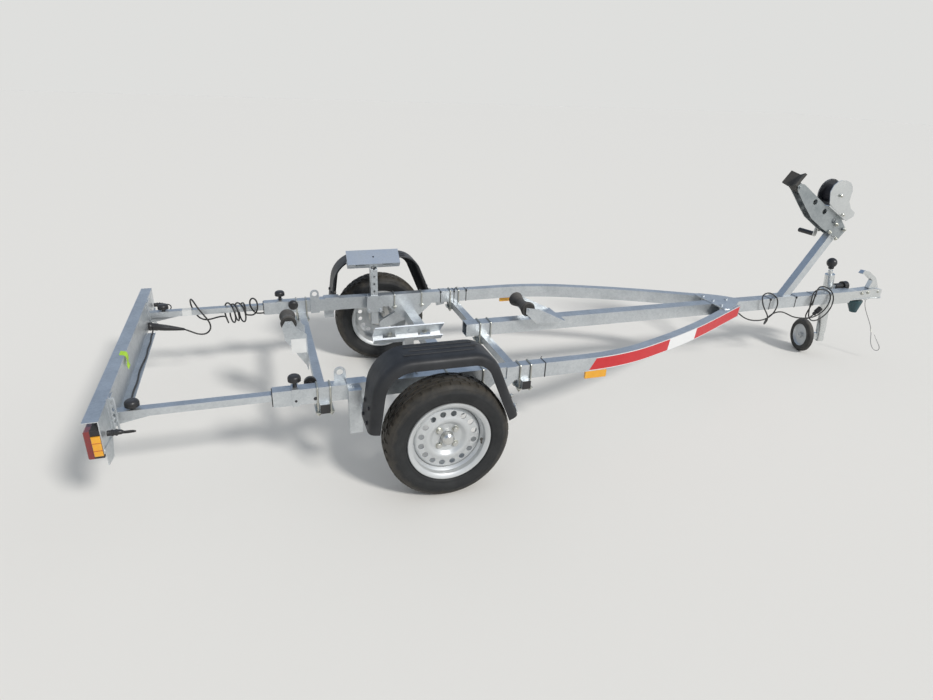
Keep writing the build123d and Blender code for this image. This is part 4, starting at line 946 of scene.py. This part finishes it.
# %% Sections of the pressed wheels
barrel_out = [(184, 61), (181, 64.5), (176, 63), (165, 57), (163, 39), (152, 28), (152, -10)]
barrel_in = [(184, 63.5), (181, 68), (174, 66.5), (161, 59.5), (159, 37.5), (148, 26)]
barrel_section = barrel_out + [(163, -37), (165, -57), (176, -63), (181, -64.5), (184, -61)]
barrel_section += [(184, -63.5), (181, -68), (174, -66.5), (161, -59.5), (159, -35.5), (148, -12)]
barrel_section += list(reversed(barrel_in))
disc_face = [(29, 22), (62, 22), (68, 24), (77, 34), (84, 38), (92, 39), (99, 37), (105, 34.5),
             (112, 33.5), (132, 32.5), (139, 30.5), (145, 25), (148, 15)]
disc_back = [(r - 1, y - 5) for r, y in reversed(disc_face[1:])]
disc_section = disc_face + disc_back + [(29, 17)]
print("barrel", len(barrel_section), "points, disc", len(disc_section))

# %% [markdown]
# The disc is turned first, the vents are cut out of it by sixteen pegs, and the barrel is
# turned and joined on. A narrow bevel softens every pressed edge.

# %% Pressed steel wheels
vent_r, vent_ring, vent_count = 13.2, 119, 16
vent_out, peg_length = 0.03, 0.06
wheel_steps = 128

for name, side in SIDES:
    centre = middle("tyre_" + name)
    disc = turned("pressed_wheel_" + name, disc_section, centre, side, wheel_steps)
    pegs = []
    for i in range(vent_count):
        angle = 2 * pi * (i + 0.5) / vent_count
        out = Vector((vent_ring * MM * cos(angle), side * vent_out, vent_ring * MM * sin(angle)))
        pegs.append(peg(centre + out, vent_r * MM, peg_length, 24))
    cut_holes(disc, pegs)
    barrel = turned("barrel_" + name, barrel_section, centre, side, wheel_steps)
    wheel = join([disc, barrel])
    soften(wheel, 0.0012, 2, 40)
    smooth(wheel, 35)
    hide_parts("rim_" + name)
    dress(wheel, silver, "wheel_" + name)
    print(wheel.name, len(wheel.data.polygons), "faces")

# %% [markdown]
# A fender is one moulded section swept over the wheel. The section has a small flange inside,
# a flat top, and an outer edge that rolls over into a deep skirt with a bead. The legs lean in
# towards the top, so first comes the place where each leg meets its round corner.

# %% Fender section and corners
rear_foot, front_foot, fender_foot_z, fender_top_z = -345, 300, 370, 675
rear_lean, front_lean = radians(8), radians(22.3)
rear_round, front_round = 165, 130
fender_in, fender_out, skirt = 655.5, 824.5, 46
fender_shift = {"left": 35, "right": 0}

fender_section = [(fender_in, 9), (fender_in + 0.5, 3), (fender_in + 3, 0.4), (fender_in + 30, 0)]
fender_section += [(fender_out - back, drop) for back, drop in (
    (34, 0), (24, 1), (14, 4), (6, 10), (2, 18), (0, 28), (0, skirt), (3, skirt + 2))]


def leg_corner(foot_x, lean, corner_r, way):
    """Where a leg meets its corner, and the corner's centre, as (x, z)."""
    centre_z = fender_top_z - corner_r
    z = centre_z + corner_r * sin(lean)
    x = foot_x + way * (z - fender_foot_z) * tan(lean)
    return (x, z), (x + way * corner_r * cos(lean), centre_z)


rear_bend, rear_centre = leg_corner(rear_foot, rear_lean, rear_round, 1)
front_bend, front_centre = leg_corner(front_foot, front_lean, front_round, -1)
print("rear corner about", [round(v) for v in rear_centre], "front", [round(v) for v in front_centre])

# %% [markdown]
# The section is drawn at the foot of the rear leg, pulled up the leg, spun round the corner,
# pulled along the top, spun round the front corner and pulled down the front leg. The sheet
# that this gives may face either way, so it is turned to face up before it gets its wall.

# %% Fenders
def fender_sweep(name, side, shift):
    start_x = axle_x + shift * MM
    into = Vector((cos(rear_lean), 0, -sin(rear_lean)))
    foot = Vector((start_x + rear_foot * MM, 0, fender_foot_z * MM))
    piece = drawn_line(name, [foot + Vector((0, side * y * MM, 0)) + into * (n * MM)
                              for y, n in fender_section])
    pull(((rear_bend[0] - rear_foot) * MM, 0, (rear_bend[1] - fender_foot_z) * MM), 4)
    bpy.ops.mesh.spin(steps=14, angle=pi / 2 - rear_lean, axis=(0, -1, 0),
                      center=(start_x + rear_centre[0] * MM, 0, rear_centre[1] * MM))
    pull(((front_centre[0] - rear_centre[0]) * MM, 0, 0), 6)
    bpy.ops.mesh.spin(steps=12, angle=pi / 2 - front_lean, axis=(0, -1, 0),
                      center=(start_x + front_centre[0] * MM, 0, front_centre[1] * MM))
    pull(((front_foot - front_bend[0]) * MM, 0, (fender_foot_z - front_bend[1]) * MM), 4)
    tidy_mesh()
    return piece


def face_up(piece):
    """Turn a sheet over if its highest faces look down."""
    highest = max(v.co.z for v in piece.data.vertices)
    if sum(f.normal.z for f in piece.data.polygons if f.center.z > highest - 0.002) < 0:
        choose_faces(piece, lambda f: True)
        bpy.ops.mesh.flip_normals()
        bpy.ops.object.mode_set(mode="OBJECT")


for name, side in SIDES:
    fender = fender_sweep("moulded_fender_" + name, side, fender_shift[name])
    face_up(fender)
    add_wall(fender, 0.004, -1, even=True)
    soften(fender, 0.0008, 2, 50)
    smooth(fender, 40)
    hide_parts("fender_" + name)
    dress(fender, fender_plastic, "frame")
    heights = [v.co.z for v in fender.data.vertices]
    print(fender.name, "from", round(min(heights), 3), "to", round(max(heights), 3), "m up")

# %% [markdown]
# Three soft ribs stiffen the top of each fender. A rib starts as a thin bar that sinks into the
# plastic, its top is pulled up and drawn in, and its edges are rounded.

# %% Fender ribs
rib_from, rib_to, rib_w, rib_h = -175, 118, 13, 4.0
rib_base, rib_draw_in, rib_narrow = 1, 14, 0.45


def block(name, at, size):
    """A box at its real place and size, with both put into its mesh."""
    clear_choice()
    bpy.ops.mesh.primitive_cube_add(size=1, location=at, scale=size)
    piece = bpy.context.object
    piece.name = name
    freeze(piece)
    return piece


def fender_rib(name, x, y):
    length = rib_to - rib_from
    rib = block(name, (x, y, (fender_top_z + rib_base / 2) * MM), (length * MM, rib_w * MM, rib_base * MM))
    choose_faces(rib, lambda f: f.normal.z > 0.9)
    pull((0, 0, (rib_h - rib_base) * MM))
    bpy.ops.transform.resize(value=((length - rib_draw_in) / length, rib_narrow, 1),
                             center_override=(x, y, (fender_top_z + rib_h) * MM))
    bpy.ops.object.mode_set(mode="OBJECT")
    soften(rib, 0.0012, 3)
    smooth(rib, 50)
    return dress(rib, fender_plastic, "frame")


for name, side in SIDES:
    for i, (y, more) in enumerate(((684, 0), (722, 14), (760, -16))):
        x = (rib_from + rib_to) / 2 + more + fender_shift[name]
        fender_rib(f"fender_rib_{name}_{i + 1}", axle_x + x * MM, side * y * MM)
print("fender ribs", rib_to - rib_from, "mm long")

# %% [markdown]
# One bolt is modelled well and then copied: a hexagon whose top face is inset and raised for
# the chamfer, on a washer with an inset rim. A nut is the same with a stud in it. It stands on
# the floor of the scene pointing up. Each copy gets its own mesh, turned to point out of the
# surface that it holds.

# %% The bolt and the nut
hexagon = dict(sides=6, radius=0.0098, height=0.0062, base_z=0.0018, inset=0.0014)
washer = dict(sides=28, radius=0.0122, height=0.0014, base_z=0, inset=0.0006)
stud = dict(sides=16, radius=0.005, height=0.006, base_z=0.0085, inset=0.0009)


def inset_faces(piece, wanted, thickness, step=(0, 0, 0)):
    """Inset the faces that pass a test, and move the inner ones by a step."""
    choose_faces(piece, wanted)
    bpy.ops.mesh.inset(thickness=thickness, depth=0)
    bpy.ops.transform.translate(value=step)
    bpy.ops.object.mode_set(mode="OBJECT")


def turned_head(sides, radius, height, base_z, inset):
    clear_choice()
    bpy.ops.mesh.primitive_cylinder_add(vertices=sides, radius=radius, depth=height,
                                        location=(0, 0, base_z + height / 2))
    piece = bpy.context.object
    freeze(piece)
    inset_faces(piece, lambda f: f.normal.z > 0.9, inset, (0, 0, inset * 0.6))
    return piece


def bolt_model(name, *shapes):
    model = join([turned_head(**shape) for shape in shapes])
    model.name = name
    smooth(model, 30)
    return model


def placed(model, name, at, out, material, size=1.0, spin=0.0, body="frame"):
    """A copy of a model standing at a point and pointing out of it."""
    mesh = model.data.copy()
    mesh.name = name
    turn = Vector(out).to_track_quat("Z", "Y").to_matrix().to_4x4() @ Matrix.Rotation(spin, 4, "Z")
    mesh.transform(Matrix.Translation(Vector(at)) @ turn @ Matrix.Scale(size, 4))
    copy = bpy.data.objects.new(name, mesh)
    scene.collection.objects.link(copy)
    return dress(copy, material, body)


bolt = bolt_model("bolt_model", hexagon, washer)
nut = bolt_model("nut_model", hexagon, washer, stud)
print("bolt faces", len(bolt.data.polygons), "nut faces", len(nut.data.polygons))

# %% [markdown]
# A U-bolt is a bent rod, so its line is drawn, its two corners are rounded, and the line is
# given a round section. A small bridge plate and two nuts close it underneath.

# %% The U-bolt
rail_y, rail_low, rail_top = 0.5515, 0.410, 0.480
rail_half, bar_half = 0.025, 0.035
rod_d, rod_gap, rod_corner, leg_below = 0.008, 0.0003, 0.009, 0.016
bridge_t, bridge_reach = 0.004, 0.012


def bent_rod(name, points):
    drawn_line(name, points)
    bpy.ops.mesh.bevel(offset=rod_corner, segments=5, affect="VERTICES")
    bpy.ops.object.mode_set(mode="OBJECT")
    bpy.ops.object.convert(target="CURVE")
    curve = bpy.context.object.data
    curve.bevel_depth = rod_d / 2
    curve.bevel_resolution = 3
    curve.use_fill_caps = True
    bpy.ops.object.convert(target="MESH")
    piece = bpy.context.object
    choose_faces(piece, lambda f: True)
    tidy_mesh()
    return piece


def u_bolt(name, x, y, half, low):
    """A U-bolt over a tube, with its bridge plate's upper face at the height low."""
    x = axle_x + x
    h = half + rod_d / 2 + rod_gap
    foot, crown = low - leg_below, rail_top + rod_d / 2
    rod = bent_rod(name, [(x, y - h, foot), (x, y - h, crown), (x, y + h, crown), (x, y + h, foot)])
    bridge = block(name + "_bridge", (x, y, low - bridge_t / 2),
                   (2 * bridge_reach, 2 * (h + bridge_reach), bridge_t))
    soften(bridge, bridge_t * 0.25)
    whole = join([rod, bridge])
    whole.name = name
    smooth(whole, 35)
    for n, side in enumerate((-1, 1)):
        placed(nut, f"{name}_nut_{n + 1}", (x, y + side * h, low - bridge_t), (0, 0, -1), bolt_steel)
    return dress(whole, bolt_steel, "frame")


print("U-bolt rod", rod_d, "m thick")

# %% [markdown]
# U-bolts clamp the rear and front cross beams and the axle under the rails, and the front beam
# under the drawbar. They stand in pairs, one on each side of what they hold.

# %% U-bolts round the rails and the drawbar
beam_low, axle_low = 0.3695, rail_low - 0.0005
rail_spots = (("rear_beam_1", -0.5125, beam_low), ("rear_beam_2", -0.4595, beam_low),
              ("axle_1", 0.053, axle_low), ("axle_2", 0.220, axle_low),
              ("front_beam_1", 0.4015, beam_low), ("front_beam_2", 0.4545, beam_low))
bar_spots = (("bar_rear_1", 0.3985), ("bar_rear_2", 0.4575))

for name, side in SIDES:
    for spot, x, low in rail_spots:
        u_bolt(f"u_bolt_{spot}_{name}", x, side * rail_y, rail_half, low)
for spot, x in bar_spots:
    u_bolt("u_bolt_" + spot, x, 0, bar_half, beam_low)
print("u-bolts", len(SIDES) * len(rail_spots) + len(bar_spots))

# %% [markdown]
# Bolt heads go where the photograph shows them: on the rails' outer faces near the rear, down
# both plates of the bow stop, on the winch, and on the coupling's near side. Each list gives
# the place ahead of the axle line, the height and, where it varies, the size.

# %% Bolts on the rails, bow stop, winch and coupling
rail_bolt_x, rail_bolt_z = (-0.600, -0.522), 0.431
bow_face_y, winch_face_y, coupling_face_y = 0.039, -0.060, -0.032
bow_nuts = ((2.668, 0.892), (2.727, 0.851), (2.779, 0.904), (2.707, 0.938))
winch_bolts = ((2.659, 1.117, 0.8), (2.716, 1.000, 0.7))
coupling_nuts = ((3.110, 0.462, 0.8), (3.162, 0.465, 0.8), (3.242, 0.467, 0.9))
to_near_side = (0, -1, 0)

for name, side in SIDES:
    outward_way = (0, side, 0)
    for x in rail_bolt_x:
        placed(bolt, f"rail_bolt_{name}_{round(-x * 1000)}",
               (axle_x + x, side * (rail_y + rail_half), rail_bolt_z), outward_way, dark_bolt, 0.62)
    for i, (x, z) in enumerate(bow_nuts):
        placed(nut, f"bow_nut_{name}_{i + 1}", (axle_x + x, side * bow_face_y, z), outward_way,
               bolt_steel, 0.95, 0.3 * i)
for i, (x, z, size) in enumerate(winch_bolts):
    placed(bolt, f"winch_bolt_{i + 1}", (axle_x + x, winch_face_y, z), to_near_side, bolt_steel, size)
for i, (x, z, size) in enumerate(coupling_nuts):
    placed(nut, f"coupling_nut_{i + 1}", (axle_x + x, coupling_face_y, z), to_near_side, bolt_steel, size)
print("bolts", 2 * len(rail_bolt_x), "nuts", 2 * len(bow_nuts) + len(coupling_nuts))

# %% [markdown]
# Four bolts hold each wheel on its hub, on a ring about the axle, and turn with it. The support
# plates are tilted, so their bolts are placed in the plate's own directions and then tilted
# with it. The plates are set differently on the two sides.

# %% Wheel bolts and support bolts
bolt_ring, hub_face, bolts_a_wheel = 0.050, 0.0221, 4
support_tilt, support_y = 42, 0.5065
support_place = {"left": (-0.073, 0.722), "right": (-0.110, 0.680)}

for name, side in SIDES:
    for i in range(bolts_a_wheel):
        angle = radians(45 + 90 * i)
        out = Vector((bolt_ring * cos(angle), side * hub_face, bolt_ring * sin(angle)))
        placed(bolt, f"wheel_nut_{name}_{i + 1}", middle("tyre_" + name) + out, (0, side, 0),
               bolt_steel, 1.25, 0.4 * i, "wheel_" + name)
    x, top = support_place[name]
    tilt = Matrix.Rotation(side * radians(support_tilt), 3, "X")
    tilt = tilt @ Matrix.Rotation(pi if side > 0 else 0, 3, "Z")
    for i, along_plate in enumerate((-0.078, 0.078)):
        at = Vector((axle_x + x, side * support_y, top)) + tilt @ Vector((along_plate, 0.0285, -0.0051))
        placed(bolt, f"support_bolt_{name}_{i + 1}", at, tilt @ Vector((0, 0, -1)), bolt_steel)
print("wheel bolts", 2 * bolts_a_wheel)

# %% [markdown]
# The fender's rear leg leans less than the stay inside it, so there is a gap that widens
# upwards. Each dark bolt goes through the plastic and a short rubber spacer that fills the gap.
# The front leg lies on its bar, and shows plain nuts.

# %% Fender bolts and spacers
stay_lean = atan2(115, 305)
rear_out = Vector((-cos(rear_lean), 0, sin(rear_lean)))
front_out = Vector((cos(front_lean), 0, sin(front_lean)))
bolt_columns, rear_rows, front_rows = (0.690, 0.770), (0.398, 0.462), (0.392, 0.440)
front_skin = 0.0055
spacer_r, spacer_more, spacer_in = 0.009, 0.008, 0.002


def leg_x(name, foot_x, lean, z):
    """Where a leg or stay is at a height. A lean below 0 is one to the rear."""
    return axle_x + (fender_shift[name] + foot_x) * MM + (z - fender_foot_z * MM) * tan(lean)


def spacer(name, spot, gap):
    clear_choice()
    bpy.ops.mesh.primitive_cylinder_add(vertices=20, radius=spacer_r, depth=gap + spacer_more,
                                        location=spot - rear_out * (gap / 2 + spacer_in),
                                        rotation=(0, -(pi / 2 - rear_lean), 0))
    piece = bpy.context.object
    piece.name = name
    freeze(piece)
    inset_faces(piece, lambda f: abs(f.normal.dot(rear_out)) > 0.9, 0.003)
    smooth(piece, 40)
    return dress(piece, rubber, "frame")


for name, side in SIDES:
    for n, y in enumerate(bolt_columns):
        for z in rear_rows:
            place_name = f"{name}_{n + 1}_{round(z * 1000)}"
            skin_x = leg_x(name, rear_foot, rear_lean, z)
            gap = (leg_x(name, rear_foot, stay_lean, z) - skin_x) * cos(rear_lean)
            spot = Vector((skin_x, side * y, z))
            placed(bolt, "rear_leg_bolt_" + place_name, spot, rear_out, dark_bolt, 0.85)
            spacer("rear_leg_spacer_" + place_name, spot, gap)
        for z in front_rows:
            x = leg_x(name, front_foot, -front_lean, z) + front_skin
            placed(nut, f"front_leg_nut_{name}_{n + 1}_{round(z * 1000)}", (x, side * y, z),
                   front_out, bolt_steel, 0.85, 0.4)
print("fender bolts on", len(rear_rows) + len(front_rows), "rows a side")

# %% [markdown]
# Cable ties are thin flat bands pulled tight round a tube. The loop is drawn round the tube
# just clear of it, pulled out to the band's width and given a wall.

# %% The band of a cable tie
tie_plastic = finish("tie_plastic", (0.012, 0.012, 0.013), (0.03, 0.03, 0.032), (0.32, 0.44),
                     fine_grain, 700, 0.08)
tie_w, tie_gap, tie_wall = 0.0046, 0.0007, 0.0011


def tie_band(name, at, y, half):
    near, far = y - half - tie_gap, y + half + tie_gap
    low, top = rail_low - tie_gap, rail_top + tie_gap
    loop = [(at - tie_w / 2, cy, cz) for cy, cz in ((near, low), (near, top), (far, top), (far, low))]
    band = drawn_line(name, loop + loop[:1])
    pull((tie_w, 0, 0))
    tidy_mesh()
    add_wall(band, tie_wall, 1)
    return band


print("tie band", tie_w, "m wide")

# %% [markdown]
# The square locking head sits on the tube's side, and its outer face is inset. The tail starts
# as a small block beside it and curls outwards in four short pulls. Band, head and tail are
# then joined to one tie.

# %% Head, tail and the whole tie
tie_head_size, tie_tail_size = (0.0078, 0.0052, 0.0075), (tie_w * 0.9, 0.0012, 0.004)


def tie_head(at, y, out):
    head = block("tie_head", (at, y, rail_top - 0.006), tie_head_size)
    inset_faces(head, lambda f: f.normal.y * out > 0.9, 0.0012, (0, -0.0008 * out, 0))
    return head


def tie_tail(at, y, out, length):
    strip = block("tie_tail", (at, y + out * 0.001, rail_top - 0.004), tie_tail_size)
    choose_faces(strip, lambda f: f.normal.z > 0.9)
    for part in range(4):
        pull((0.0015 * part, out * length * (0.10 + 0.12 * part), length * (0.30 - 0.05 * part)))
    bpy.ops.object.mode_set(mode="OBJECT")
    return strip


def cable_tie(name, x, y, half, out, tail):
    at, head_y = axle_x + x, y + out * (half + 0.0035)
    tie = join([tie_band(name, at, y, half), tie_head(at, head_y, out), tie_tail(at, head_y, out, tail)])
    smooth(tie, 40)
    return dress(tie, tie_plastic, "frame")


print("tie tools ready")

# %% [markdown]
# The ties stand where the photograph shows them. Some tails are cut short and some are left
# long. On the rails the heads are inside, and on the drawbar they are on the near side, where
# the cable runs.

# %% Cable ties
cut_tail = 0.008
rail_ties = (("near_1", 0.529, -1, cut_tail), ("far_1", 0.426, 1, 0.05), ("far_2", 0.504, 1, 0.035),
             ("far_3", 0.340, 1, cut_tail))
bar_ties = (("bar_1", 2.340, 0.045), ("bar_2", 2.545, 0.012), ("bar_3", 2.700, 0.03))

for name, x, side, tail in rail_ties:
    cable_tie("tie_" + name, x, side * rail_y, rail_half, -side, tail)
for name, x, tail in bar_ties:
    cable_tie("tie_" + name, x, 0, bar_half, -1, tail)
print("cable ties", len(rail_ties) + len(bar_ties))

# %% [markdown]
# Each lamp's end has an amber window, split by two thin bars, set in the black housing and
# standing a little proud of it. It starts as a block, its outer face is inset and drawn out
# to a shallow dome edge, and the bars are laid across it.

# %% Amber side windows of the rear lamps
window_back, window_front, window_y = -1.3095, -1.2800, 0.7575
window_low, window_high = 0.396, 0.476
bar_x, bar_y, bar_heights = -1.2948, 0.7600, (0.4200, 0.4505)


def lamp_window(name, side):
    x = axle_x + (window_back + window_front) / 2
    window = block(name, (x, side * window_y, (window_low + window_high) / 2),
                   (window_front - window_back, 0.006, window_high - window_low))
    inset_faces(window, lambda f: f.normal.y * side > 0.9, 0.002, (0, side * 0.0025, 0))
    inset_faces(window, lambda f: f.normal.y * side > 0.9, 0.003)
    soften(window, 0.0008)
    smooth(window, 40)
    return dress(window, amber_lens, "light_board_slide")


def window_bar(name, side, z):
    bar = block(name, (axle_x + bar_x, side * bar_y, z), (0.030, 0.006, 0.0030))
    inset_faces(bar, lambda f: f.normal.y * side > 0.9, 0.0007, (0, side * 0.0008, 0))
    return dress(bar, dark_amber, "light_board_slide")


for name, side in SIDES:
    lamp_window("lamp_window_" + name, side)
    for n, z in enumerate(bar_heights):
        window_bar(f"lamp_window_bar_{name}_{n + 1}", side, z)
print("lamp windows", len(SIDES), "with", len(bar_heights), "bars each")

# %% [markdown]
# Behind each lamp a black connector plugs in from the front: a turned body with two grip rings
# and its cap. A short cable bends from it back down to the board's lip.

# %% Lamp connectors and their tails
connector_section = [(0.2, 0), (9, 0), (10.5, 1.5), (10.5, 14), (12.5, 15), (12.5, 20), (10.5, 21),
                     (10.5, 27), (12.5, 28), (12.5, 33), (9.5, 35), (9.5, 46), (7, 50), (4.2, 54),
                     (0.2, 54)]
connector_at, plug_length = (-1.2708, 0.700, 0.452), 0.053
tail_d = 0.006
tail_steps = [(-0.030, 0.066, -0.0415), (-0.014, 0.062, -0.040), (0.004, 0.052, -0.035),
              (0.022, 0.040, -0.028), (0.034, 0.026, -0.019), (0.035, 0.012, -0.009),
              (0.025, 0.003, -0.002), (0.012, 0, 0), (0, 0, 0)]

for name, side in SIDES:
    x, y, z = connector_at
    at = Vector((axle_x + x, side * y, z))
    plug_line = [at + Vector((d * MM, r * MM, 0)) for r, d in connector_section]
    plug = drawn_line("lamp_connector_" + name, plug_line)
    bpy.ops.mesh.spin(steps=32, angle=2 * pi, center=tuple(at), axis=(1, 0, 0))
    tidy_mesh(0.0006)
    smooth(plug, 35)
    dress(plug, plastic, "light_board_slide")
    tail_end = at + Vector((plug_length, 0, 0))
    tail_line = [tail_end + Vector((dx, -side * dy, dz)) for dx, dy, dz in tail_steps]
    tail = cord_curve("lamp_tail_" + name, tail_line, tail_d)
    tail.data.materials.append(cable_skin)
    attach(tail, "light_board_slide")
    line_length(tail)
    print(plug.name, "tail", round(line_length(tail), 3), "m")

# %% [markdown]
# Now a few thin, flat things. The lime tag is a paper ribbon: its line is drawn over the light
# board's edge, pulled out to its width and given the thickness of paper.

# %% The lime tag
lime = finish("lime_tag", (0.36, 0.62, 0.02), (0.48, 0.78, 0.05), (0.42, 0.6), fine_grain, 300, 0.1)
tag_w = 0.042
tag_line = [(-1.299, -0.130, 0.5345), (-1.290, -0.133, 0.5340), (-1.281, -0.137, 0.5345),
            (-1.275, -0.141, 0.5335), (-1.2715, -0.144, 0.5290), (-1.2690, -0.148, 0.521),
            (-1.2675, -0.154, 0.511), (-1.2690, -0.162, 0.501), (-1.2665, -0.170, 0.492),
            (-1.2620, -0.178, 0.486)]

tag = drawn_line("lime_tag", from_axle(tag_line))
pull((0, -tag_w, -0.001))
bpy.ops.mesh.select_all(action="SELECT")
bpy.ops.mesh.subdivide(number_cuts=2, smoothness=0)
tidy_mesh()
add_wall(tag, 0.0005, 0)
smooth(tag, 50)
dress(tag, lime, "light_board_slide")

# %% [markdown]
# A blank label lies on the rear roller's bracket, as a thin plate with rounded corners. White
# tape goes once round the left arm, made like a wide cable tie.

# %% Blank label and arm tape
label_white = finish("blank_label", (0.66, 0.67, 0.67), (0.76, 0.77, 0.77), (0.36, 0.5),
                     fine_grain, 400, 0.05, dusty=0.15)
tape_film = finish("tape_film", (0.60, 0.62, 0.62), (0.74, 0.75, 0.75), (0.25, 0.4),
                   fine_grain, 120, 0.12, dusty=0.2)
label_low, label_high = Vector((-0.582, -0.0636, 0.418)), Vector((-0.512, -0.0630, 0.492))
arm_tape_x, arm_tape_w = -1.113, 0.047
arm_half, arm_low, arm_high = 0.0195, 0.4355, 0.4665

label_at = Vector((axle_x, 0, 0)) + (label_low + label_high) / 2
label = block("bracket_label", label_at, label_high - label_low)
soften(label, 0.00015)
dress(label, label_white, "frame")

arm_loop = [(axle_x + arm_tape_x, rail_y + y, z) for y, z in (
    (-arm_half, arm_low), (-arm_half, arm_high), (arm_half, arm_high), (arm_half, arm_low))]
arm_tape = drawn_line("arm_tape", arm_loop + arm_loop[:1])
pull((arm_tape_w, 0, 0))
tidy_mesh()
add_wall(arm_tape, 0.0004, 1)
dress(arm_tape, tape_film, "light_board_slide")
print("label", round((label_high - label_low).x, 3), "m, tape", arm_tape_w, "m wide")

# %% [markdown]
# On the light board's front, beside the near lamp, a thin perforated strip stands on edge. It
# is a plate with five round-ended slots, and each slot is a peg that was stretched before it
# cuts.

# %% Slotted strip beside the near lamp
strip_x, strip_y, strip_low, strip_high = -1.2598, -0.600, 0.400, 0.545
slot_count, slot_first, slot_pitch, slot_r, slot_stretch = 5, 0.018, 0.026, 0.0042, 1.9

slotted = block("slotted_strip", (axle_x + strip_x, strip_y, (strip_low + strip_high) / 2),
                (0.022, 0.003, strip_high - strip_low))
slot_pegs = [peg((axle_x + strip_x, strip_y, strip_low + slot_first + slot_pitch * i), slot_r, 0.02, 20,
                 slot_stretch) for i in range(slot_count)]
cut_holes(slotted, slot_pegs)
soften(slotted, 0.0004)
smooth(slotted, 30)
dress(slotted, zinc, "light_board_slide")
print("slotted strip", len(slotted.data.polygons), "faces")

# %% [markdown]
# The tyre valves are short rubber stems with a cap. The safety cable gets the pressed ferrule
# that closes its eye, and a tapered black sleeve gathers the lamp cables at the board. All
# are turned standing up, and then laid along their own leaning line.

# %% Valves, ferrule and sleeve
valve_section = [(0.2, -2), (6.5, -2), (6.5, 1), (4.6, 4), (4.0, 16), (3.4, 22), (4.4, 23), (4.4, 32),
                 (3.6, 34), (0.2, 34.6)]
ferrule_section = [(0.2, -9), (3.4, -9), (4.2, -8), (4.2, 8), (3.4, 9), (0.2, 9)]
sleeve_section = [(0.2, -2), (21.5, -2), (22.5, 0), (22.5, 10), (20, 14), (20, 40), (18, 44), (16.5, 80),
                  (13.5, 110), (11, 135), (8.5, 155), (6.4, 172), (3.2, 176), (0.2, 176)]
valve_angle, valve_ring, valve_out, valve_lean = radians(-8), 0.150, 0.045, 0.35


def small_turned(name, section, at, out, steps, body, material):
    piece = drawn_line(name, [(r * MM, 0, d * MM) for r, d in section])
    bpy.ops.mesh.spin(steps=steps, angle=2 * pi, center=(0, 0, 0), axis=(0, 0, 1))
    tidy_mesh(0.0005)
    smooth(piece, 35)
    piece.rotation_mode = "QUATERNION"
    piece.rotation_quaternion = Vector(out).to_track_quat("Z", "Y")
    piece.location = at
    freeze(piece)
    return dress(piece, material, body)


for name, side in SIDES:
    spoke = Vector((cos(valve_angle), 0, sin(valve_angle)))
    across = Vector((0, side, 0))
    foot = middle("tyre_" + name) + spoke * valve_ring + across * valve_out
    small_turned("valve_" + name, valve_section, foot, across - spoke * valve_lean, 24, "wheel_" + name,
                 rubber)
small_turned("safety_cable_ferrule", ferrule_section, (axle_x + 3.269, -0.058, 0.192), (0.15, -0.55, -0.6),
             24, "frame", bolt_steel)
sleeve_from, sleeve_to = (Vector(p) for p in from_axle([(-1.274, 0.4705, 0.4135), (-1.112, 0.508, 0.368)]))
small_turned("cable_sleeve", sleeve_section, sleeve_from, sleeve_to - sleeve_from, 36,
             "light_board_slide", plastic)
print("sleeve", round((sleeve_to - sleeve_from).length, 3), "m long")

# %% [markdown]
# The two models that the bolts and nuts were copied from have done their work and are removed.
# The CAD model's box and the dressed model's box are then compared, and the largest change
# between them is printed, which shows whether dressing the trailer changed its size.

# %% Sizes before and after, then finish
for model in (bolt, nut):
    bpy.data.objects.remove(model, do_unlink=True)
bpy.context.view_layer.update()
dressed_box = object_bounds()
changes = [abs(a - b) for old, new in zip(cad_box, dressed_box) for a, b in zip(old, new)]
print("box changed by", round(max(changes), 5), "m at most")
